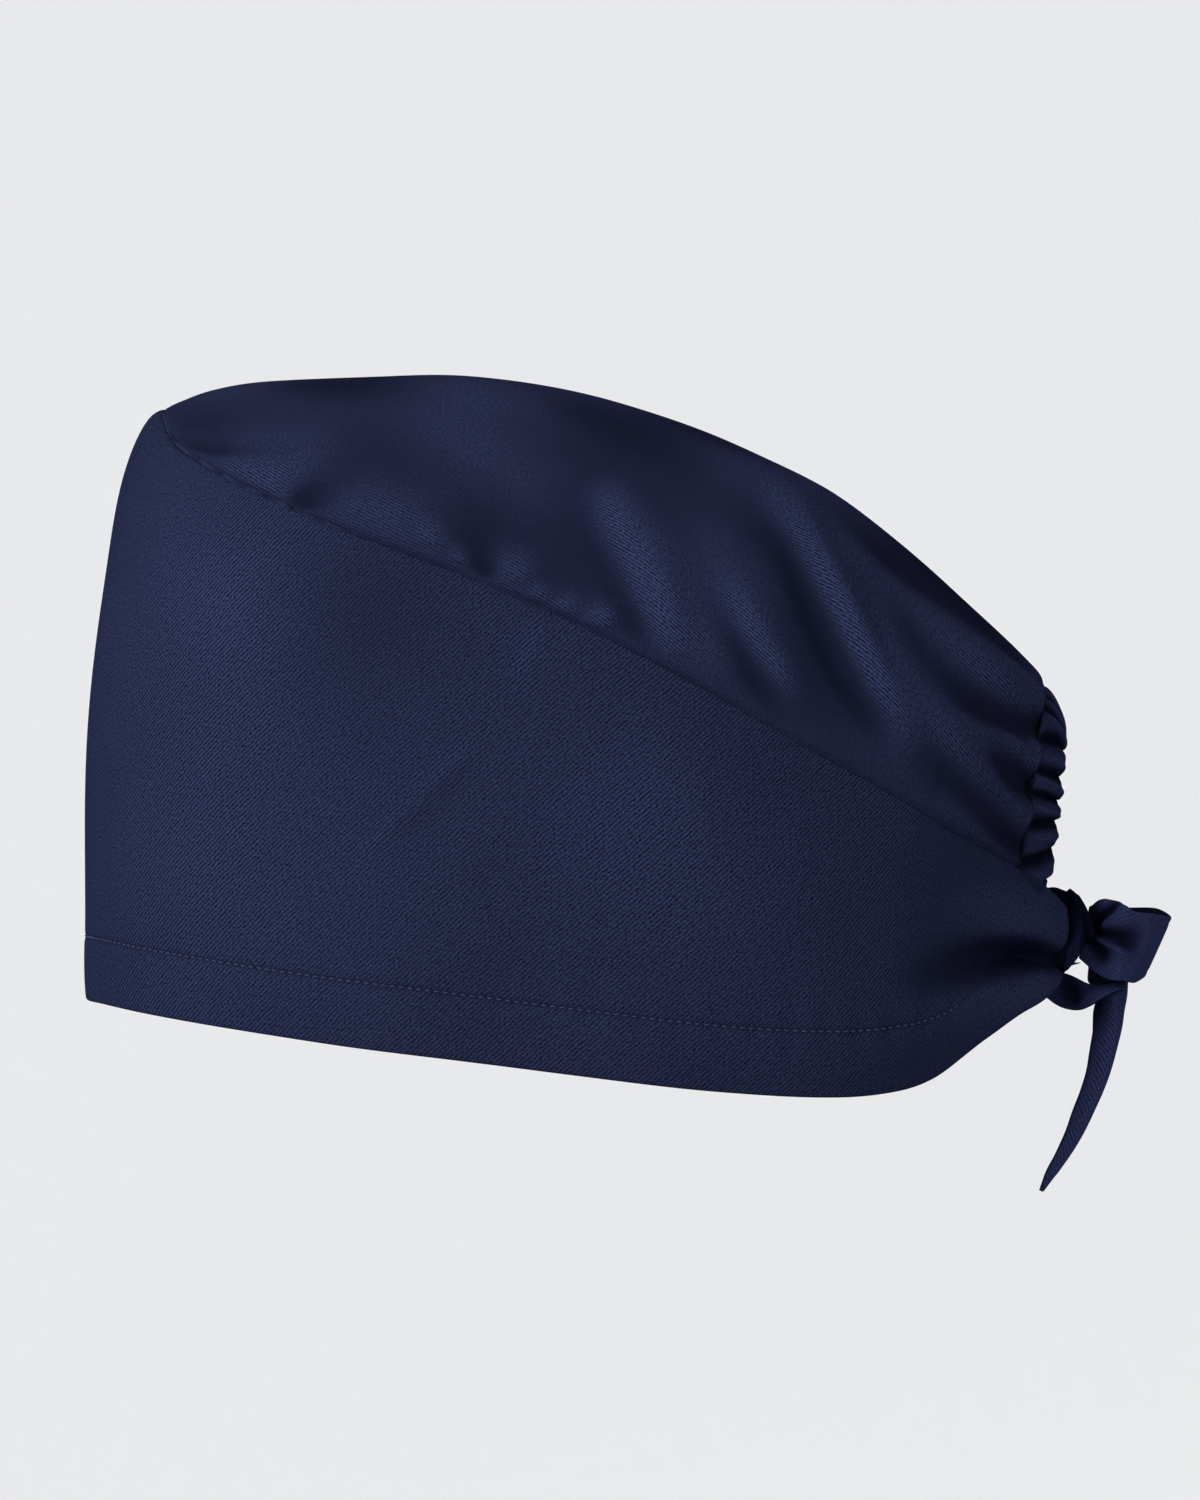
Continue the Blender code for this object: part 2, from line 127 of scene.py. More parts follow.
# The lights' places and the width of each, in metres. They shine at the middle of the picture, and
# spread over a small angle so that they light the cap and not the floor
KEY_PLACE = (-2.10, -2.05, 1.35)
KEY_WIDTH = 1.2
FILL_PLACE = (1.6, -2.4, 0.8)
FILL_WIDTH = 1.6
LIGHT_SPREAD = math.radians(45.0)
PICTURE_MIDDLE = (0.00625, 0.0, 0.0775)
SENSOR_WIDTH = 36.0

# The floor is flat out to a radius, turns up over a bend and ends in a wall, in metres. Its colour
# goes from the near to the far tone between two distances
FLAT_RADIUS = 4.0
BEND_RADIUS = 2.0
WALL_HEIGHT = 6.0
NEAR_TONE_TO = 1.2
FAR_TONE_FROM = 3.0

# Fineness of the surfaces
BAND_STEPS = 17
BAND_MIDDLE_ROWS = 62
CROWN_STEPS = 22
CROWN_ACROSS = 160
RUFFLE_STEPS = 26
CASING_ROUND = 40
TIE_STEPS = 14
TIE_ROUND = 80
FOLD_STEPS = 6
KNOT_STEPS = 8
KNOT_ROUND = 64
TURN_STEPS = 120
TURN_ROUND = 48
FLOOR_ROUND = 96

# Rows of the band's hem, and its rows next to the seam, as shares of the hem's height
HEM_ROWS = (0.0, 0.010, 0.027, 0.05, 0.10, 0.20, 0.35, 0.5, 0.65, 0.8, 0.9, 0.95, 0.98, 1.0)
OVER_HEM_ROWS = (1.02, 1.05, 1.10, 1.2)
SEAM_ROWS = (0.25, 0.15, 0.09, 0.045, 0.02, 0.0)

# The band's section: how late it starts to turn in to the seam, and how many times the height of
# the curve v (1 - v) squared its belly is
TURN_IN_POWER = 2.5
BELLY_SCALE = 6.75

# The side band, from the front centre to the tied end. "along" is a share of the cap's length from
# the front, "out" a share of half of its width, "up" a share of its height above the rim's middle.
# "shoulder" is how late the section turns in to the seam: 0.5 is round, 1 is straight. "belly" is
# how far it swells between hem and seam, as a share of half of the width.
BandSection = namedtuple(
    "BandSection", "hem_along hem_out hem_up seam_along seam_out seam_up shoulder belly"
)
BAND_SECTIONS = (
    BandSection(0.002, 0.000, 0.087, 0.082, 0.000, 0.951, 0.50, 0.012),
    BandSection(0.024, 0.265, 0.089, 0.096, 0.265, 0.908, 0.52, 0.012),
    BandSection(0.075, 0.494, 0.082, 0.126, 0.458, 0.877, 0.56, 0.014),
    BandSection(0.158, 0.699, 0.069, 0.180, 0.614, 0.836, 0.65, 0.018),
    BandSection(0.269, 0.855, 0.051, 0.274, 0.747, 0.779, 0.75, 0.022),
    BandSection(0.388, 0.940, 0.033, 0.388, 0.831, 0.719, 0.85, 0.025),
    BandSection(0.516, 0.970, 0.011, 0.516, 0.880, 0.640, 0.95, 0.030),
    BandSection(0.634, 0.948, -0.010, 0.639, 0.880, 0.548, 1.00, 0.032),
    BandSection(0.732, 0.880, -0.021, 0.737, 0.819, 0.468, 1.00, 0.032),
    BandSection(0.803, 0.766, -0.021, 0.818, 0.723, 0.402, 1.00, 0.030),
    BandSection(0.859, 0.620, -0.005, 0.879, 0.596, 0.347, 1.00, 0.030),
    BandSection(0.912, 0.450, 0.043, 0.918, 0.458, 0.315, 1.00, 0.026),
    BandSection(0.947, 0.305, 0.073, 0.950, 0.301, 0.286, 1.00, 0.022),
    BandSection(0.976, 0.165, 0.094, 0.979, 0.170, 0.257, 1.00, 0.016),
    BandSection(0.993, 0.100, 0.128, 1.000, 0.100, 0.226, 1.00, 0.008),
)

# The crown, one row for each band section from the front centre to the casing. "ridge" is its top
# line, "swell" how far the section bows out between seam and ridge, and "dome" is 1 for a round
# section and more for a flatter start at the seam.
CrownSection = namedtuple("CrownSection", "ridge_along ridge_up swell dome")
CROWN_SECTIONS = (
    CrownSection(0.082, 0.951, 0.000, 1.60),
    CrownSection(0.098, 0.961, 0.000, 1.60),
    CrownSection(0.133, 0.975, 0.005, 1.50),
    CrownSection(0.195, 0.991, 0.010, 1.40),
    CrownSection(0.291, 1.002, 0.015, 1.25),
    CrownSection(0.403, 0.998, 0.020, 1.15),
    CrownSection(0.526, 0.967, 0.020, 1.10),
    CrownSection(0.643, 0.913, 0.030, 1.05),
    CrownSection(0.745, 0.839, 0.030, 1.00),
    CrownSection(0.821, 0.767, 0.040, 1.00),
    CrownSection(0.882, 0.700, 0.060, 1.00),
    CrownSection(0.939, 0.620, 0.090, 1.00),
    CrownSection(0.979, 0.544, 0.115, 1.00),
)
CASING_EDGE = CrownSection(0.999, 0.475, 0.130, 1.00)

# Folds as lines seen from the side. Each point of a line holds its place along and up as above, the
# fold's width there as a share of the fold width, and its height as a share of the fold height,
# below 0 in a valley.
CROWN_FOLDS = {
    "front crease": (
        (0.096, 0.906, 0.14, -0.20), (0.107, 0.903, 0.17, -0.34), (0.132, 0.899, 0.17, -0.34),
        (0.185, 0.892, 0.24, -0.22), (0.235, 0.889, 0.40, -0.08), (0.290, 0.885, 0.60, 0.0),
    ),
    "front puff": (
        (0.135, 0.878, 0.45, 0.0), (0.165, 0.868, 0.75, 0.28), (0.200, 0.845, 0.70, 0.30),
        (0.218, 0.835, 0.45, 0.05),
    ),
    "seam dent": (
        (0.222, 0.804, 0.16, -0.95), (0.231, 0.820, 0.28, -0.85), (0.262, 0.850, 0.60, -0.48),
        (0.330, 0.885, 1.20, -0.15), (0.400, 0.905, 1.60, 0.0),
    ),
    "first pucker": (
        (0.356, 0.760, 0.30, 0.05), (0.360, 0.770, 0.34, 0.34), (0.372, 0.795, 0.45, 0.0),
    ),
    "second pucker": (
        (0.388, 0.732, 0.26, 0.05), (0.391, 0.743, 0.30, 0.42), (0.398, 0.768, 0.40, 0.0),
    ),
    "pucker valley": (
        (0.413, 0.722, 0.22, -0.65), (0.405, 0.748, 0.42, -0.50), (0.392, 0.795, 0.90, -0.14),
        (0.380, 0.840, 1.20, 0.0),
    ),
    "third pucker": (
        (0.440, 0.705, 0.35, 0.10), (0.446, 0.730, 0.52, 0.45), (0.452, 0.775, 0.70, 0.05),
    ),
    "fourth pucker": (
        (0.470, 0.678, 0.22, 0.05), (0.467, 0.690, 0.26, 0.36), (0.463, 0.710, 0.34, 0.0),
    ),
    "fifth pucker": (
        (0.497, 0.662, 0.22, 0.05), (0.494, 0.674, 0.28, 0.40), (0.489, 0.698, 0.36, 0.0),
    ),
    "sixth pucker": (
        (0.532, 0.640, 0.24, 0.05), (0.530, 0.655, 0.36, 0.46), (0.522, 0.690, 0.50, 0.0),
    ),
    "side valley": (
        (0.486, 0.860, 1.00, 0.0), (0.510, 0.790, 0.60, -0.22), (0.538, 0.712, 0.42, -0.34),
        (0.560, 0.655, 0.34, -0.48), (0.573, 0.620, 0.30, -0.20),
    ),
    "side ridge": (
        (0.525, 0.865, 0.55, 0.0), (0.543, 0.810, 0.55, 0.60), (0.572, 0.745, 0.55, 0.85),
        (0.592, 0.680, 0.50, 0.80), (0.602, 0.625, 0.45, 0.35), (0.604, 0.600, 0.40, 0.0),
    ),
    "middle valley": (
        (0.600, 0.800, 1.00, -0.10), (0.628, 0.730, 0.80, -0.20), (0.653, 0.650, 0.42, -0.36),
        (0.680, 0.580, 0.36, -0.44), (0.702, 0.530, 0.34, -0.15),
    ),
    "middle ridge": (
        (0.625, 0.800, 0.50, 0.0), (0.650, 0.720, 0.50, 0.26), (0.678, 0.650, 0.42, 0.66),
        (0.702, 0.590, 0.40, 0.66), (0.722, 0.540, 0.40, 0.16), (0.732, 0.515, 0.36, 0.0),
    ),
    "main valley": (
        (0.664, 0.855, 0.90, 0.0), (0.690, 0.805, 0.75, -0.20), (0.714, 0.755, 0.46, -0.36),
        (0.734, 0.690, 0.40, -0.46), (0.754, 0.620, 0.38, -0.48), (0.779, 0.555, 0.36, -0.46),
        (0.806, 0.502, 0.40, -0.24), (0.822, 0.470, 0.36, 0.0),
    ),
    "main ridge": (
        (0.690, 0.852, 0.42, 0.10), (0.706, 0.822, 0.48, 0.48), (0.724, 0.786, 0.42, 0.80),
        (0.748, 0.722, 0.38, 1.05), (0.772, 0.655, 0.38, 1.05), (0.797, 0.584, 0.38, 0.90),
        (0.824, 0.520, 0.46, 0.50), (0.840, 0.476, 0.42, 0.12), (0.848, 0.455, 0.38, 0.0),
    ),
    "beside the main ridge": (
        (0.745, 0.775, 0.45, 0.05), (0.770, 0.702, 0.60, 0.38), (0.797, 0.621, 0.60, 0.38),
        (0.823, 0.541, 0.40, 0.10),
    ),
    "back hollow": (
        (0.760, 0.815, 0.50, -0.05), (0.805, 0.765, 0.60, -0.42), (0.862, 0.700, 0.65, -0.66),
        (0.908, 0.642, 0.62, -0.85), (0.945, 0.598, 0.50, -0.80), (0.972, 0.570, 0.40, -0.35),
    ),
    "back fold": (
        (0.715, 0.842, 0.30, 0.0), (0.745, 0.800, 0.34, 0.26), (0.790, 0.738, 0.38, 0.45),
        (0.837, 0.680, 0.42, 0.60), (0.880, 0.628, 0.50, 0.78), (0.920, 0.585, 0.55, 0.90),
        (0.962, 0.545, 0.50, 0.80),
    ),
    "back valley": (
        (0.808, 0.700, 0.50, -0.10), (0.838, 0.635, 0.60, -0.40), (0.880, 0.560, 0.55, -0.62),
        (0.920, 0.515, 0.42, -0.85), (0.960, 0.492, 0.32, -0.95),
    ),
    "low ridge": (
        (0.800, 0.700, 0.30, 0.0), (0.812, 0.650, 0.34, 0.22), (0.830, 0.575, 0.40, 0.36),
        (0.862, 0.515, 0.42, 0.50), (0.895, 0.465, 0.42, 0.62), (0.925, 0.418, 0.42, 0.74),
        (0.953, 0.376, 0.40, 0.80),
    ),
    "pillow ridge": (
        (0.880, 0.500, 0.36, 0.10), (0.905, 0.494, 0.40, 0.46), (0.935, 0.480, 0.46, 0.74),
        (0.960, 0.455, 0.44, 0.80),
    ),
    "under the pillow": (
        (0.893, 0.482, 0.30, -0.15), (0.918, 0.452, 0.36, -0.55), (0.942, 0.420, 0.34, -0.85),
        (0.965, 0.400, 0.30, -0.80),
    ),
    "foot valley": (
        (0.835, 0.500, 0.50, -0.05), (0.862, 0.452, 0.48, -0.38), (0.893, 0.395, 0.42, -0.62),
        (0.920, 0.350, 0.36, -0.75), (0.945, 0.318, 0.30, -0.70),
    ),
    "foot ridge": (
        (0.862, 0.415, 0.40, 0.05), (0.885, 0.385, 0.42, 0.40), (0.908, 0.352, 0.38, 0.50),
        (0.926, 0.325, 0.34, 0.30),
    ),
}
BAND_FOLDS = {
    "pleat": (
        (0.825, 0.120, 0.60, 0.0), (0.858, 0.145, 0.55, -0.40), (0.895, 0.160, 0.50, -1.20),
        (0.930, 0.165, 0.42, -2.20), (0.965, 0.162, 0.32, -2.60), (0.985, 0.152, 0.26, -2.20),
        (0.998, 0.150, 0.22, -1.60),
    ),
    "upper lobe": (
        (0.870, 0.250, 0.80, 0.0), (0.930, 0.228, 0.70, 0.50), (0.975, 0.208, 0.60, 0.80),
        (0.998, 0.196, 0.50, 0.60),
    ),
    "lower lobe": (
        (0.860, 0.090, 0.60, 0.15), (0.930, 0.110, 0.50, 0.45), (0.970, 0.125, 0.42, 0.70),
        (0.992, 0.130, 0.36, 0.50),
    ),
    "lit front": (
        (0.133, 0.906, 1.40, 0.00), (0.115, 0.731, 2.00, 0.15), (0.107, 0.526, 2.20, 0.16),
        (0.117, 0.307, 2.20, 0.14), (0.133, 0.088, 2.00, 0.08),
    ),
    "hollow": (
        (0.200, 0.760, 1.60, 0.0), (0.250, 0.690, 2.20, -0.12), (0.310, 0.630, 2.40, -0.13),
        (0.400, 0.560, 2.20, 0.0),
    ),
    "front swell": (
        (0.130, 0.800, 1.20, 0.0), (0.170, 0.700, 1.50, 0.10), (0.200, 0.560, 1.70, 0.07),
        (0.210, 0.420, 1.70, 0.0),
    ),
    "long crease": (
        (0.402, 0.487, 0.16, 0.0), (0.385, 0.462, 0.20, 0.13), (0.345, 0.405, 0.22, 0.14),
        (0.300, 0.340, 0.20, 0.07), (0.280, 0.310, 0.18, 0.0),
    ),
    "beside the long crease": (
        (0.410, 0.475, 0.40, 0.0), (0.385, 0.440, 0.50, -0.10), (0.345, 0.385, 0.50, -0.12),
        (0.300, 0.320, 0.50, 0.0),
    ),
    "short crease": (
        (0.470, 0.655, 0.18, 0.0), (0.463, 0.632, 0.22, 0.12), (0.450, 0.590, 0.24, 0.10),
        (0.440, 0.560, 0.20, 0.0),
    ),
    "middle swell": (
        (0.500, 0.500, 1.80, 0.0), (0.560, 0.380, 2.40, 0.08), (0.600, 0.260, 2.40, 0.07),
        (0.620, 0.160, 1.80, 0.0),
    ),
}

# The folds of the ties, which raise the cloth and are also painted lighter on their backs and darker
# in their valleys, and the knot's creases, which are only painted shade, as lines seen from the side
# too
BOW_FOLDS = {
    "upper crease": (
        (1.053, 0.237, 0.08, -0.35), (1.045, 0.224, 0.09, -0.62), (1.037, 0.215, 0.10, -0.66),
        (1.031, 0.206, 0.11, -0.66), (1.026, 0.194, 0.12, -0.60),
    ),
    "upper lobe": (
        (1.033, 0.232, 0.12, 0.05), (1.041, 0.235, 0.13, 0.25), (1.048, 0.237, 0.12, 0.15),
    ),
    "beside the knot": (
        (1.023, 0.230, 0.16, -0.35), (1.026, 0.212, 0.17, -0.50), (1.026, 0.196, 0.14, -0.60),
    ),
    "dark valley": (
        (1.024, 0.187, 0.08, -0.70), (1.034, 0.185, 0.15, -0.90), (1.044, 0.182, 0.22, -1.00),
        (1.056, 0.178, 0.30, -0.95), (1.067, 0.174, 0.36, -0.60), (1.079, 0.170, 0.38, 0.00),
    ),
    "light ridge": (
        (1.026, 0.182, 0.05, 0.30), (1.036, 0.177, 0.08, 0.60), (1.048, 0.170, 0.10, 0.55),
        (1.060, 0.161, 0.13, 0.30), (1.070, 0.156, 0.15, 0.00),
    ),
    "second valley": (
        (1.023, 0.177, 0.08, -0.80), (1.029, 0.168, 0.14, -0.95), (1.034, 0.159, 0.18, -0.85),
        (1.039, 0.151, 0.20, -0.40), (1.044, 0.142, 0.20, 0.00),
    ),
}
LOOP_FOLDS = {
    "hollow": (
        (0.998, 0.129, 0.22, -0.30), (1.003, 0.111, 0.26, -0.65), (1.008, 0.094, 0.24, -0.55),
        (1.011, 0.082, 0.20, -0.10),
    ),
    "lit face": (
        (1.023, 0.092, 0.20, 0.20), (1.037, 0.094, 0.20, 0.30), (1.050, 0.101, 0.18, 0.20),
    ),
}
TAIL_FOLDS = {
    "shaded top": (
        (1.048, 0.108, 0.40, -0.50), (1.041, 0.070, 0.34, -0.45), (1.037, 0.038, 0.20, 0.00),
    ),
    "shaded edge": (
        (1.039, 0.082, 0.14, -0.45), (1.033, 0.029, 0.14, -0.40), (1.023, -0.029, 0.14, -0.30),
        (1.008, -0.088, 0.12, -0.20), (0.990, -0.146, 0.10, 0.00),
    ),
    "lit edge": (
        (1.052, 0.088, 0.12, 0.35), (1.045, 0.022, 0.12, 0.35), (1.034, -0.037, 0.12, 0.30),
        (1.014, -0.102, 0.10, 0.20), (0.991, -0.164, 0.08, 0.10),
    ),
}
KNOT_PAINTED_CREASES = {
    "between the turns": (
        (1.012, 0.241, 0.10, -0.80), (1.016, 0.227, 0.14, -0.90), (1.020, 0.211, 0.16, -0.90),
        (1.021, 0.193, 0.16, -0.90), (1.020, 0.175, 0.14, -0.70), (1.015, 0.158, 0.10, -0.30),
    ),
    "beside the band": (
        (0.997, 0.244, 0.12, -0.70), (1.003, 0.237, 0.12, -0.80), (1.006, 0.219, 0.11, -0.80),
        (1.005, 0.197, 0.10, -0.80), (1.003, 0.178, 0.10, -0.50),
    ),
}

# A tie, row by row along its middle. "along", "out" and "up" are shares of the tie's own reach,
# depth and drop, and "width" of its width. "lean" is the angle of the tie's width above the X
# axis, and "turn" how far its upper edge turns away from the near side, in degrees.
TieRow = namedtuple("TieRow", "along out up width lean turn")
BOW_ROWS = (
    TieRow(-0.07, -0.20, -0.09, 0.70, 82, 0),
    TieRow(0.16, -0.46, -0.14, 1.02, 87, 0),
    TieRow(0.35, -0.60, -0.20, 1.00, 83, 0),
    TieRow(0.46, -0.58, -0.245, 0.92, 79, 0),
    TieRow(0.66, -0.44, -0.285, 0.95, 72, 0),
    TieRow(0.83, -0.11, -0.28, 0.86, 66, 0),
    TieRow(0.70, 0.28, -0.26, 0.97, 71, 0),
    TieRow(0.43, 0.39, -0.225, 0.87, 80, 0),
    TieRow(0.21, 0.28, -0.13, 0.73, 86, 0),
    TieRow(0.00, 0.08, -0.13, 0.50, 90, 0),
)
LOOP_ROWS = (
    TieRow(-0.06, 0.12, -0.05, 0.45, 0, 0),
    TieRow(-0.27, 0.12, -0.14, 0.70, 10, 0),
    TieRow(-0.48, 0.08, -0.33, 0.80, 39, 0),
    TieRow(-0.57, -0.03, -0.40, 0.85, 58, 0),
    TieRow(-0.51, -0.17, -0.48, 0.85, 63, 0),
    TieRow(-0.24, -0.33, -0.63, 1.00, 70, 10),
    TieRow(0.15, -0.50, -0.74, 1.00, 70, 45),
    TieRow(0.51, -0.54, -0.68, 1.00, 70, 68),
    TieRow(0.84, -0.29, -0.56, 0.90, 70, 75),
    TieRow(0.97, 0.04, -0.45, 0.75, 80, 50),
    TieRow(0.78, 0.29, -0.40, 0.65, 90, 10),
    TieRow(0.50, 0.38, -0.37, 0.62, 90, 0),
    TieRow(0.30, 0.32, -0.31, 0.55, 88, 0),
    TieRow(0.30, 0.16, -0.12, 0.42, 80, 0),
)
TAIL_ROWS = (
    TieRow(0.006, 0.070, -0.082, 0.30, 90, 0),
    TieRow(0.062, 0.140, -0.125, 0.80, 60, 10),
    TieRow(0.112, 0.155, -0.201, 1.00, 40, 35),
    TieRow(0.110, 0.130, -0.275, 1.00, 21, 42),
    TieRow(0.097, 0.110, -0.343, 1.00, 7, 48),
    TieRow(0.084, 0.090, -0.404, 1.00, 0, 48),
    TieRow(0.067, 0.075, -0.478, 0.95, 0, 48),
    TieRow(0.049, 0.067, -0.552, 0.88, 0, 48),
    TieRow(0.023, 0.060, -0.627, 0.84, 0, 48),
    TieRow(-0.009, 0.052, -0.701, 0.80, 0, 48),
    TieRow(-0.042, 0.045, -0.776, 0.72, 0, 48),
    TieRow(-0.083, 0.037, -0.851, 0.64, 0, 48),
    TieRow(-0.130, 0.030, -0.925, 0.48, 0, 48),
    TieRow(-0.172, 0.030, -1.000, 0.10, 0, 48),
)

# The knot's two turns of tie, seen from the side. "along" is where a turn's middle passes the
# knot, and "bow" how much further back than its top and foot that is, as shares of the knot's
# length. "half" is half of the turn's width, another such share. "top" and "foot" are shares of
# half of the knot's height, "wide" of half of its width, and "lean" how much further back the top
# is than the foot, as a share of the knot's length.
KnotTurn = namedtuple("KnotTurn", "along bow half top foot wide lean")
KNOT_TURNS = (
    KnotTurn(-0.190, 0.412, 0.40, 0.86, -1.16, 0.86, 0.104),
    KnotTurn(0.365, 0.215, 0.20, 0.74, -0.42, 0.90, -0.240),
)


# The knot's core, row by row along the cap. "along" is a share of the knot's length, "wide" of half
# of its width, and "low" and "high" of half of its height. Its first rows lie between the band's
# ends.
KnotRow = namedtuple("KnotRow", "along wide low high")
KNOT_ROWS = (
    KnotRow(-1.15, 0.60, 0.00, 0.88),
    KnotRow(-0.90, 0.76, -0.70, 0.98),
    KnotRow(-0.50, 0.86, -1.16, 1.00),
    KnotRow(-0.10, 0.92, -1.20, 0.92),
    KnotRow(0.25, 0.84, -1.04, 0.84),
    KnotRow(0.60, 0.76, -0.84, 0.74),
    KnotRow(0.90, 0.55, -0.62, 0.50),
    KnotRow(1.00, 0.15, -0.30, 0.10),
)


class CapSizes(bpy.types.PropertyGroup):
    """Sizes of the cap's cloth."""

    length: FloatProperty(
        name="Length", description="From the front to the tied ends", default=0.245, unit="LENGTH"
    )
    width: FloatProperty(
        name="Width", description="Across the widest part", default=0.166, unit="LENGTH"
    )
    height: FloatProperty(
        name="Height", description="From the rim's middle to the top", default=0.171, unit="LENGTH"
    )
    cloth: FloatProperty(
        name="Cloth", description="Thickness of the cloth", default=0.0011, unit="LENGTH"
    )
    hem_depth: FloatProperty(
        name="Hem depth", description="From the hem's fold to its stitches", default=0.0165,
        unit="LENGTH",
    )
    hem_thickness: FloatProperty(
        name="Hem thickness", description="Thickness of the doubled hem", default=0.0022,
        unit="LENGTH",
    )
    seam_roll: FloatProperty(
        name="Seam roll", description="How deep the crown dips into the seam", default=0.0012,
        unit="LENGTH",
    )
    seam_reach: FloatProperty(
        name="Seam reach", description="How far from the seam the edges start to dip",
        default=0.0015, unit="LENGTH",
    )
    seam_tuck: FloatProperty(
        name="Seam tuck", description="How far the crown's edge runs in under the band's",
        default=0.0007, unit="LENGTH",
    )


class FoldSizes(bpy.types.PropertyGroup):
    """Sizes of the folds and gathers."""

    width: FloatProperty(
        name="Fold width", description="The width that the fold tables take shares of",
        default=0.010, unit="LENGTH",
    )
    height: FloatProperty(
        name="Fold height", description="The height that the fold tables take shares of",
        default=0.003, unit="LENGTH",
    )
    stray: FloatProperty(
        name="Stray", description="How far the far side's folds lie from the near side's",
        default=0.006, unit="LENGTH",
    )
    ease: FloatProperty(
        name="Ease", description="Height of the slow waves all over the cloth",
        default=0.00035, unit="LENGTH",
    )
    gather: FloatProperty(
        name="Gather", description="Height of the gathers beside the casing",
        default=0.0009, unit="LENGTH",
    )
    gather_reach: FloatProperty(
        name="Gather reach", description="How far the gathers run into the crown",
        default=0.011, unit="LENGTH",
    )


class CasingSizes(bpy.types.PropertyGroup):
    """Sizes of the elastic casing."""

    ruffles: IntProperty(name="Ruffles", description="Ruffles along the casing", default=17)
    thickness: FloatProperty(
        name="Thickness", description="Through the casing", default=0.0036, unit="LENGTH"
    )
    depth: FloatProperty(
        name="Ruffle depth", description="From a ruffle's top to its crease",
        default=0.0021, unit="LENGTH",
    )
    scallop: FloatProperty(
        name="Scallop", description="How far the free edge draws in at a crease",
        default=0.0016, unit="LENGTH",
    )
    slant: FloatProperty(
        name="Slant", description="Ruffles that a crease crosses on its way to the free edge",
        default=0.95,
    )


class TieSizes(bpy.types.PropertyGroup):
    """Sizes of the knot and the ties."""

    thickness: FloatProperty(
        name="Thickness", description="Through a tie", default=0.0011, unit="LENGTH"
    )
    knot_length: FloatProperty(
        name="Knot length", description="Along the cap", default=0.0054, unit="LENGTH"
    )
    knot_width: FloatProperty(
        name="Knot width", description="Across the cap", default=0.0190, unit="LENGTH"
    )
    knot_height: FloatProperty(
        name="Knot height", description="Up the cap", default=0.0175, unit="LENGTH"
    )
    knot_lift: FloatProperty(
        name="Knot lift", description="Above the middle of the band's ends",
        default=0.0035, unit="LENGTH",
    )
    bow_reach: FloatProperty(
        name="Bow reach", description="From the knot to the loop's end",
        default=0.0205, unit="LENGTH",
    )
    bow_depth: FloatProperty(
        name="Bow depth", description="Across the loop", default=0.0180, unit="LENGTH"
    )
    bow_spread: FloatProperty(
        name="Bow spread", description="Width of the loop", default=0.0190, unit="LENGTH"
    )
    loop_reach: FloatProperty(
        name="Lower reach", description="Reach of the lower loop", default=0.0125, unit="LENGTH"
    )
    loop_depth: FloatProperty(
        name="Lower depth", description="Across the lower loop", default=0.0120, unit="LENGTH"
    )
    loop_drop: FloatProperty(
        name="Lower drop", description="Drop of the lower loop", default=0.0115, unit="LENGTH"
    )
    loop_width: FloatProperty(
        name="Lower width", description="Width of the lower loop", default=0.0085, unit="LENGTH"
    )
    tail_drop: FloatProperty(
        name="Tail drop", description="From the knot to the tip", default=0.0670, unit="LENGTH"
    )
    tail_width: FloatProperty(
        name="Tail width", description="Width of the hanging end", default=0.0095, unit="LENGTH"
    )


class StitchSizes(bpy.types.PropertyGroup):
    """Sizes of the hem's stitches."""

    pitch: FloatProperty(
        name="Pitch", description="From one stitch to the next", default=0.0022, unit="LENGTH"
    )
    length: FloatProperty(
        name="Length", description="Of one stitch", default=0.0015, unit="LENGTH"
    )
    thread: FloatProperty(
        name="Thread", description="Thickness of the thread", default=0.00036, unit="LENGTH"
    )
    sink: FloatProperty(
        name="Sink", description="How deep the stitches draw the cloth in", default=0.00022,
        unit="LENGTH",
    )


class TwillLooks(bpy.types.PropertyGroup):
    """Colours and weave of the cloth."""

    band: FloatVectorProperty(
        name="Band", description="Colour of the band", subtype="COLOR",
        default=(0.0082, 0.0104, 0.0260), min=0.0, max=1.0,
    )
    crown: FloatVectorProperty(
        name="Crown", description="Colour of the crown and casing", subtype="COLOR",
        default=(0.0080, 0.0099, 0.0250), min=0.0, max=1.0,
    )
    tie: FloatVectorProperty(
        name="Tie", description="Colour of the ties", subtype="COLOR",
        default=(0.0094, 0.0118, 0.0325), min=0.0, max=1.0,
    )
    thread: FloatVectorProperty(
        name="Thread", description="Colour of the thread", subtype="COLOR",
        default=(0.016, 0.020, 0.050), min=0.0, max=1.0,
    )
    pitch: FloatProperty(
        name="Pitch", description="From one twill line to the next", default=0.00086,
        unit="LENGTH",
    )
    relief: FloatProperty(
        name="Relief", description="Height of the twill lines", default=0.00010, unit="LENGTH"
    )


